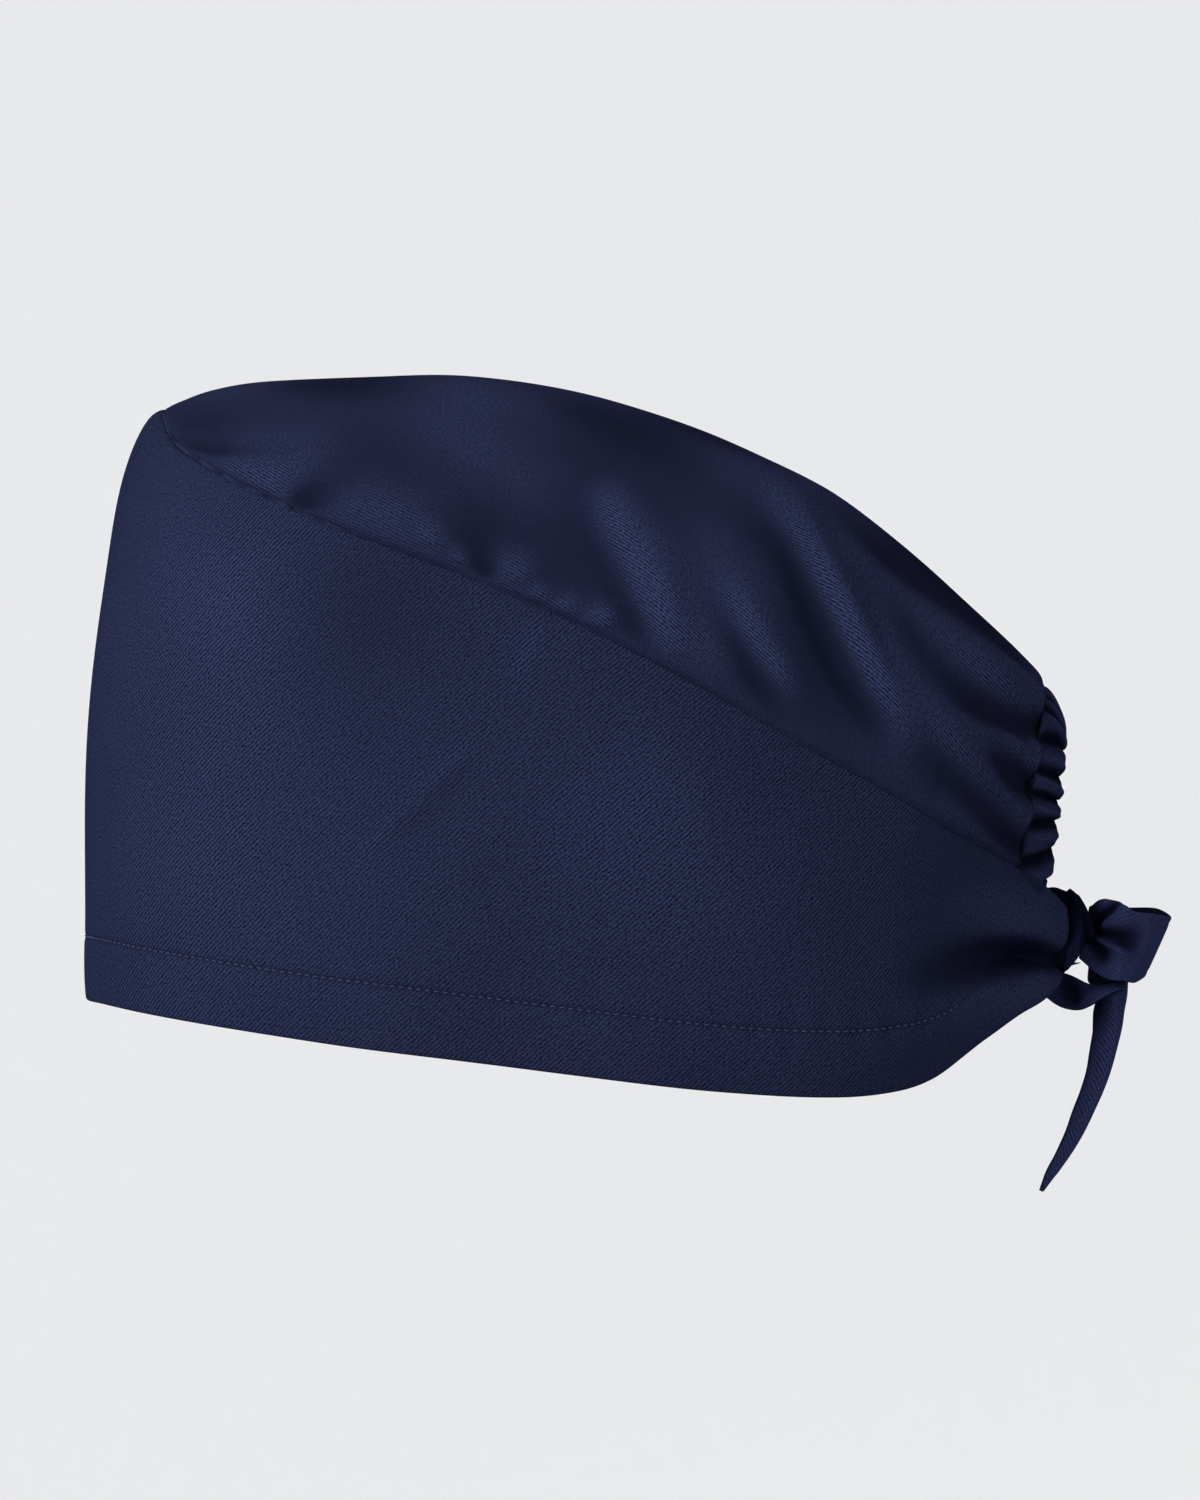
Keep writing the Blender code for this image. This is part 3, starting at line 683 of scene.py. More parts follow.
class StageLooks(bpy.types.PropertyGroup):
    """Floor, lights and camera."""

    floor: FloatVectorProperty(
        name="Floor", description="Colour of the floor", subtype="COLOR",
        default=(0.86, 0.865, 0.875), min=0.0, max=1.0,
    )
    glow: FloatProperty(
        name="Glow", description="How much light the floor and wall give off themselves",
        default=0.125,
    )
    near_floor: FloatProperty(
        name="Near floor", description="How light the floor is under the cap, as a share",
        default=0.80,
    )
    floor_drop: FloatProperty(
        name="Floor drop", description="From the rim down to the floor", default=0.60,
        unit="LENGTH",
    )
    key: FloatProperty(name="Key", description="Power of the key light, in watts", default=14.5)
    fill: FloatProperty(name="Fill", description="Power of the fill light, in watts", default=2.2)
    sky: FloatProperty(name="Sky", description="Strength of the even light all round", default=0.79)
    distance: FloatProperty(
        name="Distance", description="From the camera to the cap", default=2.0, unit="LENGTH"
    )
    rise: FloatProperty(
        name="Rise", description="The camera's angle above the cap, in degrees", default=2.5
    )
    view_width: FloatProperty(
        name="View width", description="Width that the picture shows at the cap",
        default=0.300, unit="LENGTH",
    )


class ScrubCap(bpy.types.PropertyGroup):
    """All settings of the cap."""

    cap: PointerProperty(type=CapSizes)
    folds: PointerProperty(type=FoldSizes)
    casing: PointerProperty(type=CasingSizes)
    ties: PointerProperty(type=TieSizes)
    stitches: PointerProperty(type=StitchSizes)
    twill: PointerProperty(type=TwillLooks)
    stage: PointerProperty(type=StageLooks)


def smooth_rows(rows, steps):
    """A Catmull-Rom curve through every row of a table, with steps points from row to row."""
    p = np.array(rows, float)
    p = np.vstack([2 * p[0] - p[1], p, 2 * p[-1] - p[-2]])
    t = (np.arange(steps) / steps)[None, :, None]
    a, b, c, d = (p[k : len(p) - 3 + k, None, :] for k in range(4))
    curve = 0.5 * (
        2 * b + (c - a) * t + (2 * a - 5 * b + 4 * c - d) * t**2 + (3 * b - a - 3 * c + d) * t**3
    )
    return np.vstack([curve.reshape(-1, p.shape[1]), p[-2]])


def place(cap, along, out, up):
    """Points in metres from shares of the cap's length, half width and height."""
    return np.stack(
        [(along - 0.5) * cap.length, out * 0.5 * cap.width, up * cap.height], axis=-1
    )


def unit(vectors):
    """Vectors scaled to length 1."""
    return vectors / np.maximum(np.linalg.norm(vectors, axis=-1, keepdims=True), 1e-12)


def grid_normals(points):
    """Unit normals of a grid: the cross product of its two directions."""
    return unit(np.cross(np.gradient(points, axis=0), np.gradient(points, axis=1)))


def run_length(points, axis):
    """The length run along a grid's rows or columns up to each point."""
    step = np.linalg.norm(np.diff(points, axis=axis), axis=-1)
    pad = [(1, 0) if k == axis else (0, 0) for k in range(2)]
    return np.pad(np.cumsum(step, axis=axis), pad)


def bell(distance, width):
    """The bell curve exp(-(distance / width)^2)."""
    return np.exp(-((distance / width) ** 2))


def fold_relief(points, lines, cap, folds):
    """The height of all folds at each point: for each fold a bell curve of the distance to its
    line, seen from the side, times its height there. On the far side the lines stray."""
    x, y, z = np.moveaxis(points, -1, 0)
    far = 0.5 + 0.5 * np.tanh(y / 0.012)
    seen = np.stack(
        [
            x + far * folds.stray * np.sin(z / 0.021 + 0.6),
            z + far * folds.stray * np.cos(x / 0.024),
        ],
        axis=-1,
    ).reshape(-1, 1, 2)
    rise = np.zeros(len(seen))
    for line in lines.values():
        row = smooth_rows(line, FOLD_STEPS)
        at = place(cap, row[:, 0], 0.0 * row[:, 0], row[:, 1])[:, [0, 2]]
        start, run = at[:-1], np.diff(at, axis=0)
        share = np.clip(((seen - start) * run).sum(-1) / (run**2).sum(-1), 0.0, 1.0)
        away = np.linalg.norm(seen - start - share[..., None] * run, axis=-1)
        best = away.argmin(axis=1)
        pick = np.arange(len(best))
        part = share[pick, best]
        width = row[best, 2] + part * (row[best + 1, 2] - row[best, 2])
        height = row[best, 3] + part * (row[best + 1, 3] - row[best, 3])
        rise += folds.height * height * bell(away[pick, best], folds.width * width)
    return rise.reshape(points.shape[:2])


def slow_waves(points, height):
    """Slow waves all over the cloth: a sum of slanted sines, 30 to 90 mm long."""
    x, y, z = np.moveaxis(points, -1, 0)
    first = np.sin((x + 0.5 * z) / 0.0090 + 1.7 * np.sin(z / 0.023))
    second = np.sin((z - 0.7 * x) / 0.0120 + 1.3 * np.sin(y / 0.019 + 0.5))
    third = np.sin((0.8 * x + y + 0.3 * z) / 0.0061)
    return height * (first + 1.2 * second + 0.35 * third)


def corners(grid):
    """The four corners of each field of a grid, as rows of numbers."""
    fields = [grid[:-1, :-1], grid[1:, :-1], grid[1:, 1:], grid[:-1, 1:]]
    return np.stack(fields, axis=-1).reshape(-1, 4)


def ring_mesh(name, points, flat, material, rise):
    """A mesh object over a grid of points that closes on itself across, with its two ends capped.
    flat holds each point's place on the cloth, for the weave, and rise the painted light and shade
    of its colour, given as how far a fold would stand out there; it is kept in the attribute fold."""
    rows, across = points.shape[:2]
    wide = across + 1
    place_of = np.arange(rows)[:, None] * across + np.arange(wide)[None, :] % across
    flat_of = np.arange(rows * wide).reshape(rows, wide)
    faces = corners(place_of)
    loops = np.concatenate([faces.ravel(), place_of[0, :-1], place_of[-1, -2::-1]])
    texels = np.concatenate([corners(flat_of).ravel(), flat_of[0, :-1], flat_of[-1, -2::-1]])
    sizes = np.append(np.full(len(faces), 4), [across, across])
    mesh = bpy.data.meshes.new(name)
    mesh.vertices.add(rows * across)
    mesh.vertices.foreach_set("co", points.astype(np.float32).ravel())
    mesh.loops.add(len(loops))
    mesh.loops.foreach_set("vertex_index", loops.astype(np.int32))
    mesh.polygons.add(len(sizes))
    starts = np.concatenate([[0], np.cumsum(sizes)[:-1]])
    mesh.polygons.foreach_set("loop_start", starts.astype(np.int32))
    layer = mesh.uv_layers.new(name="cloth")
    layer.data.foreach_set("uv", flat.reshape(-1, 2)[texels].astype(np.float32).ravel())
    # painted light and shade for the colour: lighter where rise is above 0, darker below
    stands = mesh.attributes.new("fold", "FLOAT", "POINT")
    stands.data.foreach_set("value", np.tanh(rise / PAINTED_LIGHT_FOLD_HEIGHT).astype(np.float32).ravel())
    mesh.update(calc_edges=True)
    mesh.validate()
    return finish_mesh(name, mesh, material)


def finish_mesh(name, mesh, material):
    """Close the poles and doubled edges of a mesh, smooth it and put it in the scene."""
    cage = bmesh.new()
    cage.from_mesh(mesh)
    bmesh.ops.remove_doubles(cage, verts=cage.verts, dist=WELD)
    cage.to_mesh(mesh)
    cage.free()
    mesh.shade_smooth()
    mesh.materials.append(material)
    piece = bpy.data.objects.new(name, mesh)
    bpy.context.scene.collection.objects.link(piece)
    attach(piece, "root")
    return piece


def shell(outer, depth):
    """A closed wall from an outer surface: the surface, then the same moved in by depth along its
    normals, read back the other way."""
    inner = outer - depth[..., None] * grid_normals(outer)
    return np.concatenate([outer, inner[:, ::-1]], axis=1)


def shell_flat(flat):
    """Places on the cloth for a shell: the inner layer repeats the outer one."""
    return np.concatenate([flat, flat[:, ::-1], flat[:, :1]], axis=1)


def seam_dip(distance, cap, share=1.0):
    """How deep an edge dips into its seam: a bell curve of the distance from the seam."""
    return share * cap.seam_roll * bell(distance, cap.seam_reach)


def band_rows(steps):
    """The band's sections with both sides, from the far end round the front to the near."""
    near = np.array(BAND_SECTIONS)
    near[:, [1, 4]] *= -1
    far = near[:0:-1] * [1, -1, 1, 1, -1, 1, 1, 1]
    return smooth_rows(np.vstack([far, near]), steps)


def band_lines(cap):
    """Hem, seam, shoulder and belly of the band, from the far end round the front to the near."""
    rows = band_rows(BAND_STEPS)
    hem = place(cap, rows[:, 0], rows[:, 1], rows[:, 2])
    seam = place(cap, rows[:, 3], rows[:, 4], rows[:, 5])
    return hem, seam, rows[:, 6], rows[:, 7] * 0.5 * cap.width


def band_heights(tall, hem):
    """Heights of the band's rows over its hem: close at the fold, the stitches and the seam."""
    low = hem[:, None] * np.array(HEM_ROWS + OVER_HEM_ROWS)
    high = tall[:, None] - hem[:, None] * np.array(SEAM_ROWS)
    share = np.linspace(0.0, 1.0, BAND_MIDDLE_ROWS + 2)[1:-1]
    middle = low[:, -1:] + (high[:, :1] - low[:, -1:]) * share
    return np.concatenate([low, middle, high], axis=1)


def band_surface(settings):
    """The band's outer face. A section goes from hem to seam: across, it follows
    1 - (1 - v^2.5)^shoulder and swells by v (1 - v)^2. Its folds, a puff in the hem, a fine ripple
    beside the stitches and the dips at stitches and seam are raised along its normals. The folds
    are also returned as painted light and shade for its colour, with a painted shade along the
    stitches."""
    cap, folds, stitches = settings.cap, settings.folds, settings.stitches
    hem, seam, shoulder, belly = band_lines(cap)
    tall = np.linalg.norm(seam - hem, axis=-1)
    hem_height = np.minimum(cap.hem_depth, 0.4 * tall)
    height = band_heights(tall, hem_height)
    v = height / tall[:, None]
    turn_in = 1 - (1 - np.minimum(v, 1.0) ** TURN_IN_POWER) ** shoulder[:, None]
    points = np.empty((*v.shape, 3))
    points[..., :2] = hem[:, None, :2] + (seam - hem)[:, None, :2] * turn_in[..., None]
    points[..., 2] = hem[:, None, 2] + (seam - hem)[:, None, 2] * v
    along = np.gradient(hem[:, :2], axis=0)
    outwards = unit(np.stack([along[:, 1], -along[:, 0]], axis=-1))
    swell = belly[:, None] * BELLY_SCALE * v * (1 - v) ** 2
    points[..., :2] += swell[..., None] * outwards[:, None, :]
    flat = np.stack([np.broadcast_to(run_length(hem[:, None], 0), v.shape), height], axis=-1)
    off_hem = (height - hem_height[:, None]) / cap.hem_depth
    puff = 0.00030 * np.sin(math.pi * np.clip(height / hem_height[:, None], 0, 1)) ** 0.7
    drift = 2 * np.sin(flat[..., 0] / 0.021)
    ripple = 0.00014 * bell(off_hem, 0.35) * np.sin(flat[..., 0] / 0.0016 + drift)
    stitched = 0.5 - 0.5 * np.tanh((points[..., 0] - STITCHED_TO * cap.length) / 0.004)
    # painted light: the folds' relief also makes the colour lighter on a fold's back and darker in a
    # valley
    painted_light = fold_relief(points, BAND_FOLDS, cap, folds)
    rise = painted_light + slow_waves(points, 0.5 * folds.ease)
    # painted shade along the stitch line
    painted_light = painted_light - 0.9 * PAINTED_LIGHT_FOLD_HEIGHT * bell(off_hem, 0.035) * stitched
    rise += puff + ripple - stitches.sink * bell(off_hem, 0.05)
    rise -= seam_dip(tall[:, None] - height, cap, 0.15)
    points = points + rise[..., None] * grid_normals(points)
    return points, flat, height, hem_height, painted_light


def side_band(settings):
    """The band as a closed wall: doubled below the stitches, with a round fold at the hem."""
    cap = settings.cap
    outer, flat, height, hem_height, painted_light = band_surface(settings)
    step = np.clip((hem_height[:, None] * 1.06 - height) / (0.05 * cap.hem_depth), 0.0, 1.0)
    thick = cap.cloth + (cap.hem_thickness - cap.cloth) * step
    half = 0.5 * cap.hem_thickness
    near_fold = np.clip(1.0 - height / half, 0.0, 1.0)
    round_in = half - np.sqrt(half**2 - (half * near_fold) ** 2)
    normals = grid_normals(outer)
    outer = outer - round_in[..., None] * normals
    inner = outer - (thick - 2 * round_in)[..., None] * normals
    points = np.concatenate([outer, inner[:, ::-1]], axis=1)
    looks = settings.twill
    material = twill("band_twill", looks.band, BAND_SLANT, looks, BAND_PLAIN, PAINTED_LIGHT_SHARE)
    painted_light = np.concatenate([painted_light, 0.0 * painted_light], axis=1)
    piece = ring_mesh("band_cloth", points, shell_flat(flat), material, painted_light)
    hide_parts("side_band")


def hem_stitches(settings):
    """Stitches along the top of the hem: short rods whose ends sink into the cloth by the fourth
    power of the place along them."""
    stitches = settings.stitches
    outer = band_surface(settings)[0]
    row = len(HEM_ROWS) - 1
    line = outer[:, row]
    out = grid_normals(outer)[:, row]
    run = run_length(line[:, None], 0)[:, 0]
    at = np.arange(STITCH_MARGIN, run[-1] - STITCH_MARGIN, stitches.pitch)
    at = at[np.interp(at, run, line[:, 0]) < STITCHED_TO * settings.cap.length]

    def along_run(values):
        return np.stack([np.interp(at, run, values[:, k]) for k in range(3)], axis=-1)

    centre = along_run(line)
    out = unit(along_run(out))
    ahead = unit(along_run(np.gradient(line, axis=0)))
    beside = np.cross(out, ahead)
    share = np.array([-1.0, -0.8, -0.35, 0.35, 0.8, 1.0])
    girth = np.array([0.15, 0.75, 1.0, 1.0, 0.75, 0.15])
    lift = stitches.thread * (0.35 - 0.9 * share**4)
    around = np.linspace(0.0, 2 * math.pi, 6, endpoint=False)
    radius = 0.5 * stitches.thread * girth
    points = (
        centre[:, None, None]
        + 0.5 * stitches.length * share[None, :, None, None] * ahead[:, None, None]
        + (lift[:, None] + radius[:, None] * np.sin(around))[None, ..., None] * out[:, None, None]
        + (1.2 * radius[:, None] * np.cos(around))[None, ..., None] * beside[:, None, None]
    )
    count, rings, sides = points.shape[:3]
    one = np.arange(rings * sides).reshape(rings, sides)
    one = np.hstack([one, one[:, :1]])
    shift = np.arange(count)[:, None, None] * rings * sides
    faces = (corners(one)[None] + shift).reshape(-1, 4).tolist()
    for end in (one[0, :-1], one[-1, -2::-1]):
        faces += (end[None] + shift[:, 0]).tolist()
    mesh = bpy.data.meshes.new("hem_stitches")
    mesh.from_pydata(points.reshape(-1, 3).tolist(), [], faces)
    mesh.update()
    piece = finish_mesh("hem_stitches", mesh, thread_material("hem_thread", settings.twill.thread))


def arch(cap, base, section, angle):
    """A section from its near base over its top to the far base, as angle goes from 0 to pi:
    it rises by sin(angle)^dome, goes across by cos(angle) and bows out by sin(2 angle)."""
    top = place(cap, section[..., 0], 0.0 * section[..., 0], section[..., 1])
    rise = np.sin(angle) ** section[..., 3, None]
    bow = section[..., 2, None] * 0.5 * cap.width * np.sin(2 * angle)
    points = np.empty((*np.broadcast_shapes(rise.shape, bow.shape), 3))
    points[..., 0] = base[..., 0, None] + (top - base)[..., 0, None] * rise
    points[..., 1] = base[..., 1, None] * np.cos(angle) - bow
    points[..., 2] = base[..., 2, None] + (top - base)[..., 2, None] * rise
    return points


def crown_base(cap, steps):
    """The crown's near edge, tucked in under the band's, from the front to the casing."""
    rows = band_rows(steps)
    seam = place(cap, rows[:, 3], rows[:, 4], rows[:, 5])
    front = (len(BAND_SECTIONS) - 1) * steps
    back = front + (len(CROWN_SECTIONS) - 1) * steps
    along = unit(np.gradient(seam, axis=0)[front : back + 1])
    seam = seam[front : back + 1]
    top = CROWN_SECTIONS[len(CROWN_SECTIONS) // 2 - 1]
    to_top = place(cap, top.ridge_along, 0.0, top.ridge_up) - seam
    inwards = unit(to_top - (to_top * along).sum(axis=-1, keepdims=True) * along)
    return seam - cap.seam_tuck * inwards


def close_at_ends(count):
    """Shares from 0 to 1 that lie closer together at both ends."""
    t = np.linspace(0.0, 1.0, count + 1)
    step = 1.0 - 0.82 * np.cos(math.pi * (t[1:] + t[:-1]) / 2) ** 10
    share = np.concatenate([[0.0], np.cumsum(step)])
    return share / share[-1]


def ruffle_phase(angle, settings):
    """Where along its ruffles the casing is at an angle: evenly, with some drift."""
    return settings.casing.ruffles * (
        angle / math.pi + 0.020 * np.sin(3 * angle + 0.7) + 0.012 * np.sin(8 * angle + 2.1)
    )


def crown(settings):
    """The crown: arched sections from seam to seam, with its folds and slow waves, with gathers
    that die away from the casing as a bell curve, and with its edges dipping into the seam. A
    gather is |sin|^0.6 of the ruffle phase: a round top with a crease on each side."""
    cap, folds = settings.cap, settings.folds
    base = crown_base(cap, CROWN_STEPS)
    section = smooth_rows(CROWN_SECTIONS, CROWN_STEPS)
    angle = math.pi * close_at_ends(CROWN_ACROSS)
    points = arch(cap, base, section, angle)
    points[0] = base[0]
    across = run_length(points, 1)
    from_back = run_length(points[::-1], 0)[::-1]
    drawn = across + WEAVE_DRAW * np.maximum(points[..., 0] - DRAWN_FROM, 0.0) ** 2
    flat = np.stack([points[..., 0], drawn], axis=-1)
    to_seam = np.minimum(np.minimum(across, across[:, -1:] - across), run_length(points, 0))
    held = 1.0 - bell(to_seam, FOLD_HOLD)
    gather = bell(from_back, folds.gather_reach) * (
        np.abs(np.sin(math.pi * ruffle_phase(angle, settings)))[None] ** GATHER_POWER - 0.85
    )
    swell = bell(from_back, 2.4 * folds.gather_reach) * np.sin(
        math.pi * 0.47 * ruffle_phase(angle, settings) + 0.4
    )
    normals = grid_normals(points)
    normals[0] = normals[1]
    sideways = 0.25 + 0.75 * np.clip(np.abs(normals[..., 1]) / 0.4, 0.0, 1.0)
    rise = fold_relief(points, CROWN_FOLDS, cap, folds) * sideways
    rise += slow_waves(points, 1.3 * folds.ease) * (1.0 - bell(to_seam, WAVE_HOLD))
    over = 1.8 - 0.8 * sideways
    rise += folds.gather * over * (2.0 * gather + 0.5 * swell) * (1.0 - bell(from_back, GATHER_HOLD))
    # painted light: the relief held off the seam also makes the colour lighter on a fold's back and
    # darker in a valley
    painted_light = rise * held
    rise = painted_light - seam_dip(to_seam, cap) - seam_dip(from_back, cap, 0.6)
    points = points + rise[..., None] * normals
    wall = shell(points, np.full(points.shape[:2], cap.cloth))
    looks = settings.twill
    material = twill("crown_twill", looks.crown, CROWN_SLANT, looks, CROWN_PLAIN, PAINTED_LIGHT_SHARE)
    painted_light = np.concatenate([painted_light, 0.0 * painted_light], axis=1)
    piece = ring_mesh("crown_cloth", wall, shell_flat(flat), material, painted_light)
    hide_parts("crown")


def elastic_casing(settings):
    """The casing: a flattened tube swept over the keyhole. Each ruffle is |sin|^0.7 of its phase,
    so it has a round top and a sharp crease, and the creases slant towards the free edge. Painted
    shade darkens each crease and its sides, and a painted highlight lightens each top. Its two feet
    run down and inwards behind the band."""
    cap, casing = settings.cap, settings.casing
    lift = np.array([0.0, 0.0, 0.0008])
    angle = np.linspace(0.0, math.pi, casing.ruffles * RUFFLE_STEPS + 1)
    gather = arch(cap, crown_base(cap, CROWN_STEPS)[-1] + lift, np.array(CROWN_SECTIONS[-1]), angle)
    end = BAND_SECTIONS[len(CROWN_SECTIONS)]
    foot = place(cap, end.seam_along + 0.005, -end.seam_out, end.seam_up - 0.004) + 2 * lift
    edge = arch(cap, foot, np.array(CASING_EDGE), angle)
    around = np.linspace(2 * math.pi, 0.0, CASING_ROUND, endpoint=False)
    share = 0.5 - 0.5 * np.cos(around)
    slant = casing.slant * (share[None] - 0.5) * np.tanh(3.0 * np.cos(angle))[:, None]
    phase = ruffle_phase(angle, settings)[:, None] - slant
    lobe = np.abs(np.sin(math.pi * phase)) ** RUFFLE_POWER
    ripple = 0.12 * np.sin(5 * math.pi * phase + 3 * share[None])
    outwards = unit(np.cross(edge - gather, np.gradient(gather, axis=0)))
    half = 0.5 * casing.thickness
    face = np.sqrt(np.clip(np.sin(around), 0.0, 1.0))[None]
    face = face + np.clip(np.sin(around), -0.25, 0.0)[None]
    rise = casing.depth * (lobe + ripple - 0.8) * face
    # painted shade in and beside the creases and a painted highlight on the tops, for the colour
    # only
    shade = casing.depth * (2.4 * lobe + ripple - 2.05) * face
    over = half * np.sin(around)[None] + rise - 0.35 * half
    reach = share[None] * (1.0 - casing.scallop / 0.011 * (1.0 - lobe) * share[None] ** 2)
    points = (
        gather[:, None]
        + (edge - gather)[:, None] * (-0.05 + 1.05 * reach)[..., None]
        + outwards[:, None] * over[..., None]
    )
    drop = np.linspace(FOOT_DROP, 0.0, 5)[:-1, None, None]
    feet = [
        points[end] + drop * np.array([-0.15, inwards, -1.0])
        for end, inwards in ((0, FOOT_IN), (-1, -FOOT_IN))
    ]
    points = np.concatenate([feet[0], points, feet[1][::-1]])
    plain = 0.0 * shade[:4]
    shade = np.concatenate([plain, shade, plain])
    run = run_length(points[:, CASING_ROUND // 4][:, None], 0)
    flat = np.stack(np.broadcast_arrays(1.9 * run, 0.0035 * around[None]), axis=-1)
    flat = np.concatenate([flat, flat[:, :1] * [1.0, 0.0]], axis=1)
    looks = settings.twill
    material = twill("casing_twill", looks.crown, CASING_SLANT, looks, CROWN_PLAIN, TIE_PAINTED_LIGHT_SHARE)
    piece = ring_mesh("casing_cloth", points, flat, material, shade)
    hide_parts("elastic_casing")


def knot_centre(settings):
    """The middle of the knot, just behind the band's two ends."""
    cap, ties = settings.cap, settings.ties
    end = BAND_SECTIONS[-1]
    reach = max(end.hem_along, end.seam_along) - 0.5
    middle = 0.5 * (end.hem_up + end.seam_up) * cap.height
    along = reach * cap.length + KNOT_GAP + 0.5 * ties.knot_length
    return np.array([along, 0.0, middle + ties.knot_lift])


def side_relief(points, lines, settings):
    """Folds that lie on the same lines on both sides: the relief of the points moved to the near
    side."""
    near = points * [1.0, 0.0, 1.0] - [0.0, 1.0, 0.0]
    return fold_relief(near, lines, settings.cap, settings.folds)


def knot_shade(points, settings):
    """The knot's painted shade: dark all over, and darker in its creases."""
    return side_relief(points, KNOT_PAINTED_CREASES, settings) - 0.3 * PAINTED_LIGHT_FOLD_HEIGHT


def knot_turn(name, turn, settings, material):
    """One turn of tie: a flat oval carried round the knot by cos and sin of the angle round it. It
    swells along its middle, has creases along it as cosines across it, and narrows at its top and
    foot by the fourth power of its height."""
    ties = settings.ties
    round_it = np.linspace(0.0, 2 * math.pi, TURN_STEPS + 1)[:, None]
    around = np.linspace(0.0, 2 * math.pi, TURN_ROUND, endpoint=False)[None]
    side, rise = np.cos(round_it), np.sin(round_it)
    tall = 0.5 * ties.knot_height * np.where(rise > 0, turn.top, -turn.foot) * rise
    across = np.cos(around) + 0.0 * rise
    crease = np.cos(4.5 * across + 0.8 * rise + 3.0 * turn.along)
    face = np.abs(np.sin(around) ** 3) * np.where(np.sin(around) > 0, 1.0, 0.4)
    bulge = TURN_SWELL * (np.sin(around) + 0.16 * crease * face)
    narrow = 1.0 - (0.55 - 0.15 * rise) * rise**4
    x = turn.along + turn.bow * (0.5 - rise**2) + turn.lean * rise + turn.half * narrow * across
    y = (0.5 * ties.knot_width * turn.wide + bulge) * side
    z = tall + bulge * np.sin(round_it)
    points = np.stack(np.broadcast_arrays(x * ties.knot_length, y, z), axis=-1)
    points += knot_centre(settings)
    turned = np.append(around, 2 * math.pi)[None]
    flat = np.stack(np.broadcast_arrays(0.009 * round_it, 0.0012 * turned), axis=-1)
    # painted shade from knot_shade
    return ring_mesh(name, points, flat, material, knot_shade(points, settings))


def tie_knot(settings):
    """The knot: a core of gathered cloth, an oval whose pleats are cosines of the angle round it,
    with two turns of tie."""
    ties = settings.ties
    looks = settings.twill
    material = twill("knot_twill", looks.tie, TIE_SLANT, looks, TIE_PLAIN, TIE_PAINTED_LIGHT_SHARE)
    along, wide, low, high = smooth_rows(KNOT_ROWS, KNOT_STEPS).T[..., None]
    around = np.linspace(2 * math.pi, 0.0, KNOT_ROUND, endpoint=False)
    pleats = 1.0 + 0.07 * np.cos(9 * around) + 0.04 * np.cos(14 * around + 1.0)
    middle, tall = 0.5 * (low + high), 0.5 * (high - low)
    points = np.empty((len(along), len(around), 3))
    points[..., 0] = (along - 0.5) * ties.knot_length
    points[..., 1] = 0.5 * ties.knot_width * wide * np.cos(around) * pleats
    points[..., 2] = 0.5 * ties.knot_height * (middle + tall * np.sin(around) * pleats)
    points += knot_centre(settings)
    turned = np.append(around, 0.0)[None]
    flat = np.stack(np.broadcast_arrays(0.005 * along, 0.008 * turned), axis=-1)
    # the core is painted darker still: painted shade
    shade = knot_shade(points, settings) - PAINTED_LIGHT_FOLD_HEIGHT
    core = ring_mesh("knot_core", points, flat, material, shade)
    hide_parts("tie_knot")
    for number, turn in enumerate(KNOT_TURNS, 1):
        piece = knot_turn(f"knot_turn_{number}", turn, settings, material)


def tie_path(rows, origin, size, width):
    """Middle line and half width vectors of a tie, smooth through the rows of its table."""
    along, out, up, share, lean, turn = smooth_rows(rows, TIE_STEPS).T
    middle = origin + np.stack([along, out, up], axis=-1) * size
    lean, turn = np.radians(lean), np.radians(turn)
    flat = np.cos(turn)
    sideways = np.stack([np.cos(lean) * flat, np.sin(turn), np.sin(lean) * flat], axis=-1)
    return middle, 0.5 * width * share[:, None] * sideways


def tie_cloth(name, rows, origin, size, width, lines, settings, light, inside):
    """A tie: a flat section with round, stitched edges, carried along its path. Its folds lie on
    lines seen from the side; they raise the cloth and are painted into its colour as light and
    shade. light and inside are the painted light of its outer face and the painted shade of its
    inner face, given as if they stood out in a fold by so many times the height at which a fold's
    painted light is nearly full."""
    ties = settings.ties
    middle, half = tie_path(rows, origin, size, width)
    around = np.linspace(0.0, 2 * math.pi, TIE_ROUND, endpoint=False)
    across = np.cos(around)
    face = np.sign(np.sin(around)) * np.abs(np.sin(around)) ** 0.25
    wide = np.linalg.norm(half, axis=-1)[:, None]
    from_edge = wide * (1 - np.abs(across))
    edge_line = 0.30 * bell(from_edge - TIE_STITCH_IN, TIE_STITCH_WIDTH)
    normal = unit(np.cross(half, np.gradient(middle, axis=0)))
    points = middle[:, None] + half[:, None] * across[None, :, None]
    rise = side_relief(points, lines, settings)
    lift = 0.5 * ties.thickness * face * (1.0 - edge_line) - rise
    points = points + normal[:, None] * lift[..., None]
    # painted shade on the inner face; on the outer face the folds' painted light and shade, with the
    # tie's painted light added
    shade = np.where(face > 0, inside * PAINTED_LIGHT_FOLD_HEIGHT, rise + light * PAINTED_LIGHT_FOLD_HEIGHT)
    run = run_length(middle[:, None], 0)
    across_flat = np.append(across, across[0])[None] * wide
    flat = np.stack([np.broadcast_to(run, across_flat.shape), across_flat], axis=-1)
    looks = settings.twill
    material = twill(name + "_twill", looks.tie, TIE_SLANT, looks, TIE_PLAIN, TIE_PAINTED_LIGHT_SHARE)
    piece = ring_mesh(name + "_cloth", points, flat, material, shade)
    return piece


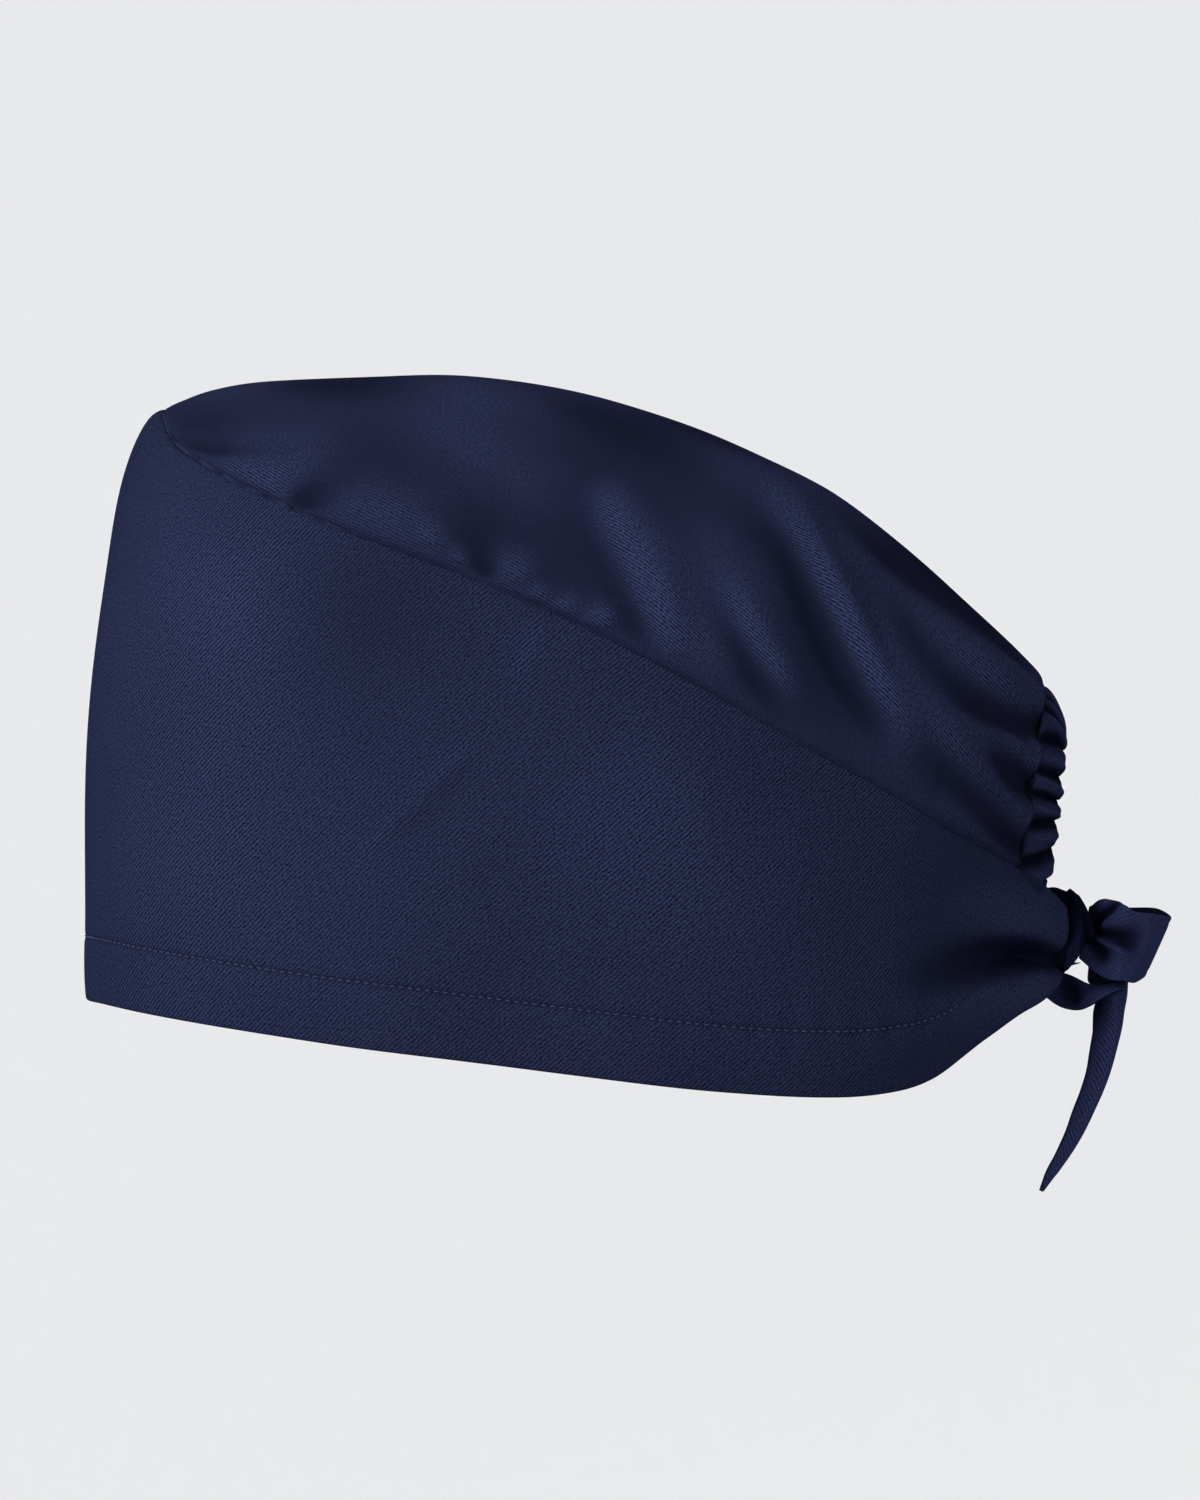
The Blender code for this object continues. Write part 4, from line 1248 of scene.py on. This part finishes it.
def bow_loop(settings):
    """The bow's big loop, pleated where it leaves the knot."""
    ties = settings.ties
    origin = knot_centre(settings) + [0.5 * ties.knot_length + KNOT_GAP, 0.0, 0.0]
    size = (ties.bow_reach, ties.bow_depth, ties.bow_spread)
    width = ties.bow_spread
    # painted light on the outer face, painted shade inside the loop
    piece = tie_cloth("bow_loop", BOW_ROWS, origin, size, width, BOW_FOLDS, settings, 0.25, -1.2)
    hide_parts("bow_loop")


def lower_loop(settings):
    """The loop of tie under the knot."""
    ties = settings.ties
    origin = knot_centre(settings) - [0.0, 0.0, 0.5 * ties.knot_height + KNOT_GAP]
    size = (ties.loop_reach, ties.loop_depth, ties.loop_drop)
    width = ties.loop_width
    # painted light on the outer face, painted shade inside the loop
    piece = tie_cloth("lower_loop", LOOP_ROWS, origin, size, width, LOOP_FOLDS, settings, 0.2, -1.2)
    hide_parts("lower_loop")


def tie_tail(settings):
    """The end that hangs down to a point."""
    ties = settings.ties
    origin = knot_centre(settings) + [0.5 * ties.knot_length + KNOT_GAP, 0.0, 0.0]
    size = (ties.tail_drop,) * 3
    width = ties.tail_width
    # the hanging end is painted lighter all over
    piece = tie_cloth("tie_tail", TAIL_ROWS, origin, size, width, TAIL_FOLDS, settings, 0.8, 0.0)
    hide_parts("tie_tail")


def new_material(name, roughness):
    """A material with nodes, its node tree and its shader."""
    material = bpy.data.materials.new(name)
    material.use_nodes = True
    shader = material.node_tree.nodes["Principled BSDF"]
    shader.inputs["Roughness"].default_value = roughness
    return material, material.node_tree, shader


def add_node(tree, kind, sockets=None, **values):
    """A node of a material, with its settings and the constants of its sockets."""
    node = tree.nodes.new(kind)
    for name, value in values.items():
        setattr(node, name, value)
    for socket, value in (sockets or {}).items():
        node.inputs[socket].default_value = value
    return node


def shade_of(colour, share):
    """A share of a colour, with alpha."""
    return (*(share * c for c in colour), 1.0)


def twill(name, colour, slant, looks, plain, depth):
    """Satin twill: lines at a slant across the cloth, broken by yarn noise, that raise the cloth
    and change its colour. The lines show by the share plain where the cloth lies flat and more
    where a fold stands out, as part of its painted highlight. By up to the share depth, light and
    shade are painted into the colour from the attribute fold: the cloth is painted lighter on a
    fold's back and darker in a valley. It has no mirror reflection of its own: its highlights are
    these painted ones."""
    material, tree, shader = new_material(name, CLOTH_ROUGHNESS)
    shader.inputs["Specular IOR Level"].default_value = 0.0
    places = add_node(tree, "ShaderNodeTexCoord")
    turn = (0.0, 0.0, math.radians(90.0 - slant))
    turned = add_node(tree, "ShaderNodeMapping", {"Rotation": turn})
    waves = {
        "Scale": 2 * math.pi / (20.0 * looks.pitch),
        "Distortion": 2.6,
        "Detail": 1.5,
        "Detail Scale": 0.6,
    }
    lines = add_node(tree, "ShaderNodeTexWave", waves, wave_type="BANDS", bands_direction="X")
    fine = {"Scale": 1.3 / looks.pitch, "Detail": 2.0}
    yarn = add_node(tree, "ShaderNodeTexNoise", fine, noise_dimensions="2D")
    spread = {"From Min": 0.3, "From Max": 0.7}
    grit = add_node(tree, "ShaderNodeMapRange", spread)
    slow = add_node(tree, "ShaderNodeTexNoise", {"Scale": 22.0})
    weave = add_node(tree, "ShaderNodeMix", {"Factor": YARN_SHARE}, data_type="FLOAT")
    # the attribute fold holds painted light and shade, and also shows the weave more on a fold's
    # back as painted highlight
    fold = add_node(tree, "ShaderNodeAttribute", attribute_name="fold")
    clear = add_node(
        tree, "ShaderNodeMath", {1: FOLD_CLEAR, 2: plain}, operation="MULTIPLY_ADD", use_clamp=True
    )
    shown = add_node(tree, "ShaderNodeMix", {"A": 0.5}, data_type="FLOAT")
    yarns = {"A": shade_of(colour, DARK_YARN), "B": shade_of(colour, LIGHT_YARN)}
    tint = add_node(tree, "ShaderNodeMix", yarns, data_type="RGBA")
    # painted light and shade: the colour is scaled by 1 + depth times the attribute fold
    painted_light_gain = add_node(tree, "ShaderNodeMath", {1: depth, 2: 1.0}, operation="MULTIPLY_ADD")
    drift = add_node(tree, "ShaderNodeMapRange", {**spread, "To Min": 0.93, "To Max": 1.07})
    both = add_node(tree, "ShaderNodeMath", operation="MULTIPLY")
    painted_light = add_node(tree, "ShaderNodeVectorMath", operation="SCALE")
    bump = add_node(tree, "ShaderNodeBump", {"Strength": 1.0, "Distance": looks.relief})
    link = tree.links.new
    link(places.outputs["UV"], turned.inputs["Vector"])
    link(turned.outputs["Vector"], lines.inputs["Vector"])
    link(places.outputs["UV"], yarn.inputs["Vector"])
    link(places.outputs["Object"], slow.inputs["Vector"])
    link(lines.outputs["Fac"], weave.inputs["A"])
    link(yarn.outputs["Fac"], grit.inputs["Value"])
    link(grit.outputs["Result"], weave.inputs["B"])
    link(fold.outputs["Fac"], clear.inputs[0])
    link(clear.outputs["Value"], shown.inputs["Factor"])
    link(weave.outputs["Result"], shown.inputs["B"])
    link(shown.outputs["Result"], tint.inputs["Factor"])
    link(fold.outputs["Fac"], painted_light_gain.inputs[0])
    link(slow.outputs["Fac"], drift.inputs["Value"])
    link(painted_light_gain.outputs["Value"], both.inputs[0])
    link(drift.outputs["Result"], both.inputs[1])
    link(tint.outputs["Result"], painted_light.inputs["Vector"])
    link(both.outputs["Value"], painted_light.inputs["Scale"])
    link(painted_light.outputs["Vector"], shader.inputs["Base Color"])
    link(weave.outputs["Result"], bump.inputs["Height"])
    link(bump.outputs["Normal"], shader.inputs["Normal"])
    return material


def thread_material(name, colour):
    """Thread: lighter than the cloth and a little shiny, with its twist as fine noise in colour
    and bump."""
    material, tree, shader = new_material(name, THREAD_ROUGHNESS)
    shader.inputs["Specular IOR Level"].default_value = 0.1
    places = add_node(tree, "ShaderNodeTexCoord")
    twist = add_node(tree, "ShaderNodeTexNoise", {"Scale": 2500.0})
    plies = {"A": shade_of(colour, 0.7), "B": shade_of(colour, 1.3)}
    ramp = add_node(tree, "ShaderNodeMix", plies, data_type="RGBA")
    bump = add_node(tree, "ShaderNodeBump", {"Distance": 0.00005})
    link = tree.links.new
    link(places.outputs["Object"], twist.inputs["Vector"])
    link(twist.outputs["Fac"], ramp.inputs["Factor"])
    link(ramp.outputs["Result"], shader.inputs["Base Color"])
    link(twist.outputs["Fac"], bump.inputs["Height"])
    link(bump.outputs["Normal"], shader.inputs["Normal"])
    return material


def studio_floor(stage):
    """A pale floor that turns up all round into a wall: a profile turned about the Z axis, flat,
    then a quarter of a circle, then straight up. It is darker near the cap and gives off a little
    light of its own."""
    level = np.linspace(0.0, FLAT_RADIUS, 9)
    bend = np.linspace(0.1, 1.57, 16)
    edge = FLAT_RADIUS + BEND_RADIUS
    radius = np.concatenate([level, FLAT_RADIUS + BEND_RADIUS * np.sin(bend), [edge]])
    rise = np.concatenate([0.0 * level, BEND_RADIUS - BEND_RADIUS * np.cos(bend), [WALL_HEIGHT]])
    turn = np.linspace(0.0, 2 * math.pi, FLOOR_ROUND + 1)
    points = np.stack(
        [
            radius[:, None] * np.cos(turn),
            radius[:, None] * np.sin(turn),
            np.broadcast_to(rise[:, None] - stage.floor_drop, (len(radius), len(turn))),
        ],
        axis=-1,
    )
    material, tree, shader = new_material("studio_floor", FLOOR_ROUGHNESS)
    shader.inputs["Emission Color"].default_value = (1.0, 1.0, 1.0, 1.0)
    shader.inputs["Emission Strength"].default_value = stage.glow
    places = add_node(tree, "ShaderNodeTexCoord")
    away = add_node(tree, "ShaderNodeVectorMath", operation="LENGTH")
    tones = {"From Min": NEAR_TONE_TO, "From Max": FAR_TONE_FROM, "To Min": stage.near_floor}
    share = add_node(tree, "ShaderNodeMapRange", tones, interpolation_type="SMOOTHSTEP")
    tone = add_node(tree, "ShaderNodeVectorMath", {"Vector": stage.floor}, operation="SCALE")
    tree.links.new(places.outputs["Object"], away.inputs[0])
    tree.links.new(away.outputs["Value"], share.inputs["Value"])
    tree.links.new(share.outputs["Result"], tone.inputs["Scale"])
    tree.links.new(tone.outputs["Vector"], shader.inputs["Base Color"])
    mesh = bpy.data.meshes.new("studio_floor")
    index = np.arange(points.shape[0] * points.shape[1]).reshape(points.shape[:2])
    mesh.from_pydata(points.reshape(-1, 3).tolist(), [], corners(index).tolist())
    mesh.shade_smooth()
    mesh.materials.append(material)
    floor = bpy.data.objects.new("studio_floor", mesh)
    bpy.context.scene.collection.objects.link(floor)


def area_light(name, where, aim, size, watts):
    """A square soft light that faces a point and spreads little."""
    lamp = bpy.data.lights.new(name, "AREA")
    lamp.shape = "SQUARE"
    lamp.size = size
    lamp.energy = watts
    lamp.spread = LIGHT_SPREAD
    light = bpy.data.objects.new(name, lamp)
    direction = np.array(aim) - np.array(where)
    light.location = where
    light.rotation_euler = look_angles(direction)
    light.visible_camera = False
    bpy.context.scene.collection.objects.link(light)


def look_angles(direction):
    """Angles that turn a camera or light, which faces -Z, towards a direction."""
    flat = math.hypot(direction[0], direction[1])
    return (math.atan2(flat, -direction[2]), 0.0, math.atan2(-direction[0], direction[1]))


def studio(settings):
    """Floor, even sky, a soft key from the front left, a weak fill, and the camera."""
    stage = settings.stage
    studio_floor(stage)
    world = bpy.data.worlds.new("studio_sky")
    world.use_nodes = True
    sky = world.node_tree.nodes["Background"]
    sky.inputs["Color"].default_value = (1.0, 1.0, 1.0, 1.0)
    sky.inputs["Strength"].default_value = stage.sky
    bpy.context.scene.world = world
    bpy.context.scene.view_settings.view_transform = "Standard"
    aim = np.array(PICTURE_MIDDLE)
    area_light("key", KEY_PLACE, aim, KEY_WIDTH, stage.key)
    area_light("fill", FILL_PLACE, aim, FILL_WIDTH, stage.fill)
    rise = math.radians(stage.rise)
    camera_data = bpy.data.cameras.new("camera")
    camera_data.sensor_fit = "HORIZONTAL"
    camera_data.sensor_width = SENSOR_WIDTH
    camera_data.lens = SENSOR_WIDTH * stage.distance / stage.view_width
    camera = bpy.data.objects.new("camera", camera_data)
    away = np.array([0.0, -math.cos(rise), math.sin(rise)])
    camera.location = aim + stage.distance * away
    camera.rotation_euler = look_angles(-away)
    bpy.context.scene.collection.objects.link(camera)
    bpy.context.scene.camera = camera


class DressBand(bpy.types.Operator):
    """Make the side band with its hem, pleated ends and stitches."""

    bl_idname = "scrub_cap.band"
    bl_label = "Side Band"

    def execute(self, context):
        settings = context.scene.scrub_cap
        side_band(settings)
        hem_stitches(settings)
        return {"FINISHED"}


class DressCrown(bpy.types.Operator):
    """Make the gathered crown."""

    bl_idname = "scrub_cap.crown"
    bl_label = "Crown"

    def execute(self, context):
        crown(context.scene.scrub_cap)
        return {"FINISHED"}


class DressCasing(bpy.types.Operator):
    """Make the ruffled elastic casing."""

    bl_idname = "scrub_cap.casing"
    bl_label = "Elastic Casing"

    def execute(self, context):
        elastic_casing(context.scene.scrub_cap)
        return {"FINISHED"}


class DressTies(bpy.types.Operator):
    """Make the knot, the bow, the lower loop and the hanging end."""

    bl_idname = "scrub_cap.ties"
    bl_label = "Knot and Ties"

    def execute(self, context):
        settings = context.scene.scrub_cap
        tie_knot(settings)
        bow_loop(settings)
        lower_loop(settings)
        tie_tail(settings)
        return {"FINISHED"}


class SetStage(bpy.types.Operator):
    """Make the floor, the lights and the camera."""

    bl_idname = "scrub_cap.stage"
    bl_label = "Stage"

    def execute(self, context):
        studio(context.scene.scrub_cap)
        return {"FINISHED"}


OPERATORS = (DressBand, DressCrown, DressCasing, DressTies, SetStage)


class ScrubCapPanel(bpy.types.Panel):
    """The cap's operators in the sidebar."""

    bl_idname = "VIEW3D_PT_scrub_cap"
    bl_label = "Scrub Cap"
    bl_space_type = "VIEW_3D"
    bl_region_type = "UI"
    bl_category = "Scrub Cap"

    def draw(self, context):
        settings = context.scene.scrub_cap
        for group in (settings.cap, settings.folds, settings.casing, settings.ties):
            box = self.layout.box()
            for name in group.bl_rna.properties.keys():
                if name not in {"rna_type", "name"}:
                    box.prop(group, name)
        for operator in OPERATORS:
            self.layout.operator(operator.bl_idname)


CLASSES = (
    CapSizes,
    FoldSizes,
    CasingSizes,
    TieSizes,
    StitchSizes,
    TwillLooks,
    StageLooks,
    ScrubCap,
    *OPERATORS,
    ScrubCapPanel,
)


def register():
    """Register the classes and the cap's settings."""
    for item in CLASSES:
        bpy.utils.register_class(item)
    bpy.types.Scene.scrub_cap = PointerProperty(type=ScrubCap)


def unregister():
    """Take back what register did."""
    del bpy.types.Scene.scrub_cap
    for item in reversed(CLASSES):
        bpy.utils.unregister_class(item)


def main():
    """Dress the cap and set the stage."""
    register()
    bpy.ops.scrub_cap.band()
    bpy.ops.scrub_cap.crown()
    bpy.ops.scrub_cap.casing()
    bpy.ops.scrub_cap.ties()
    bpy.ops.scrub_cap.stage()


if __name__ == "__main__":
    main()
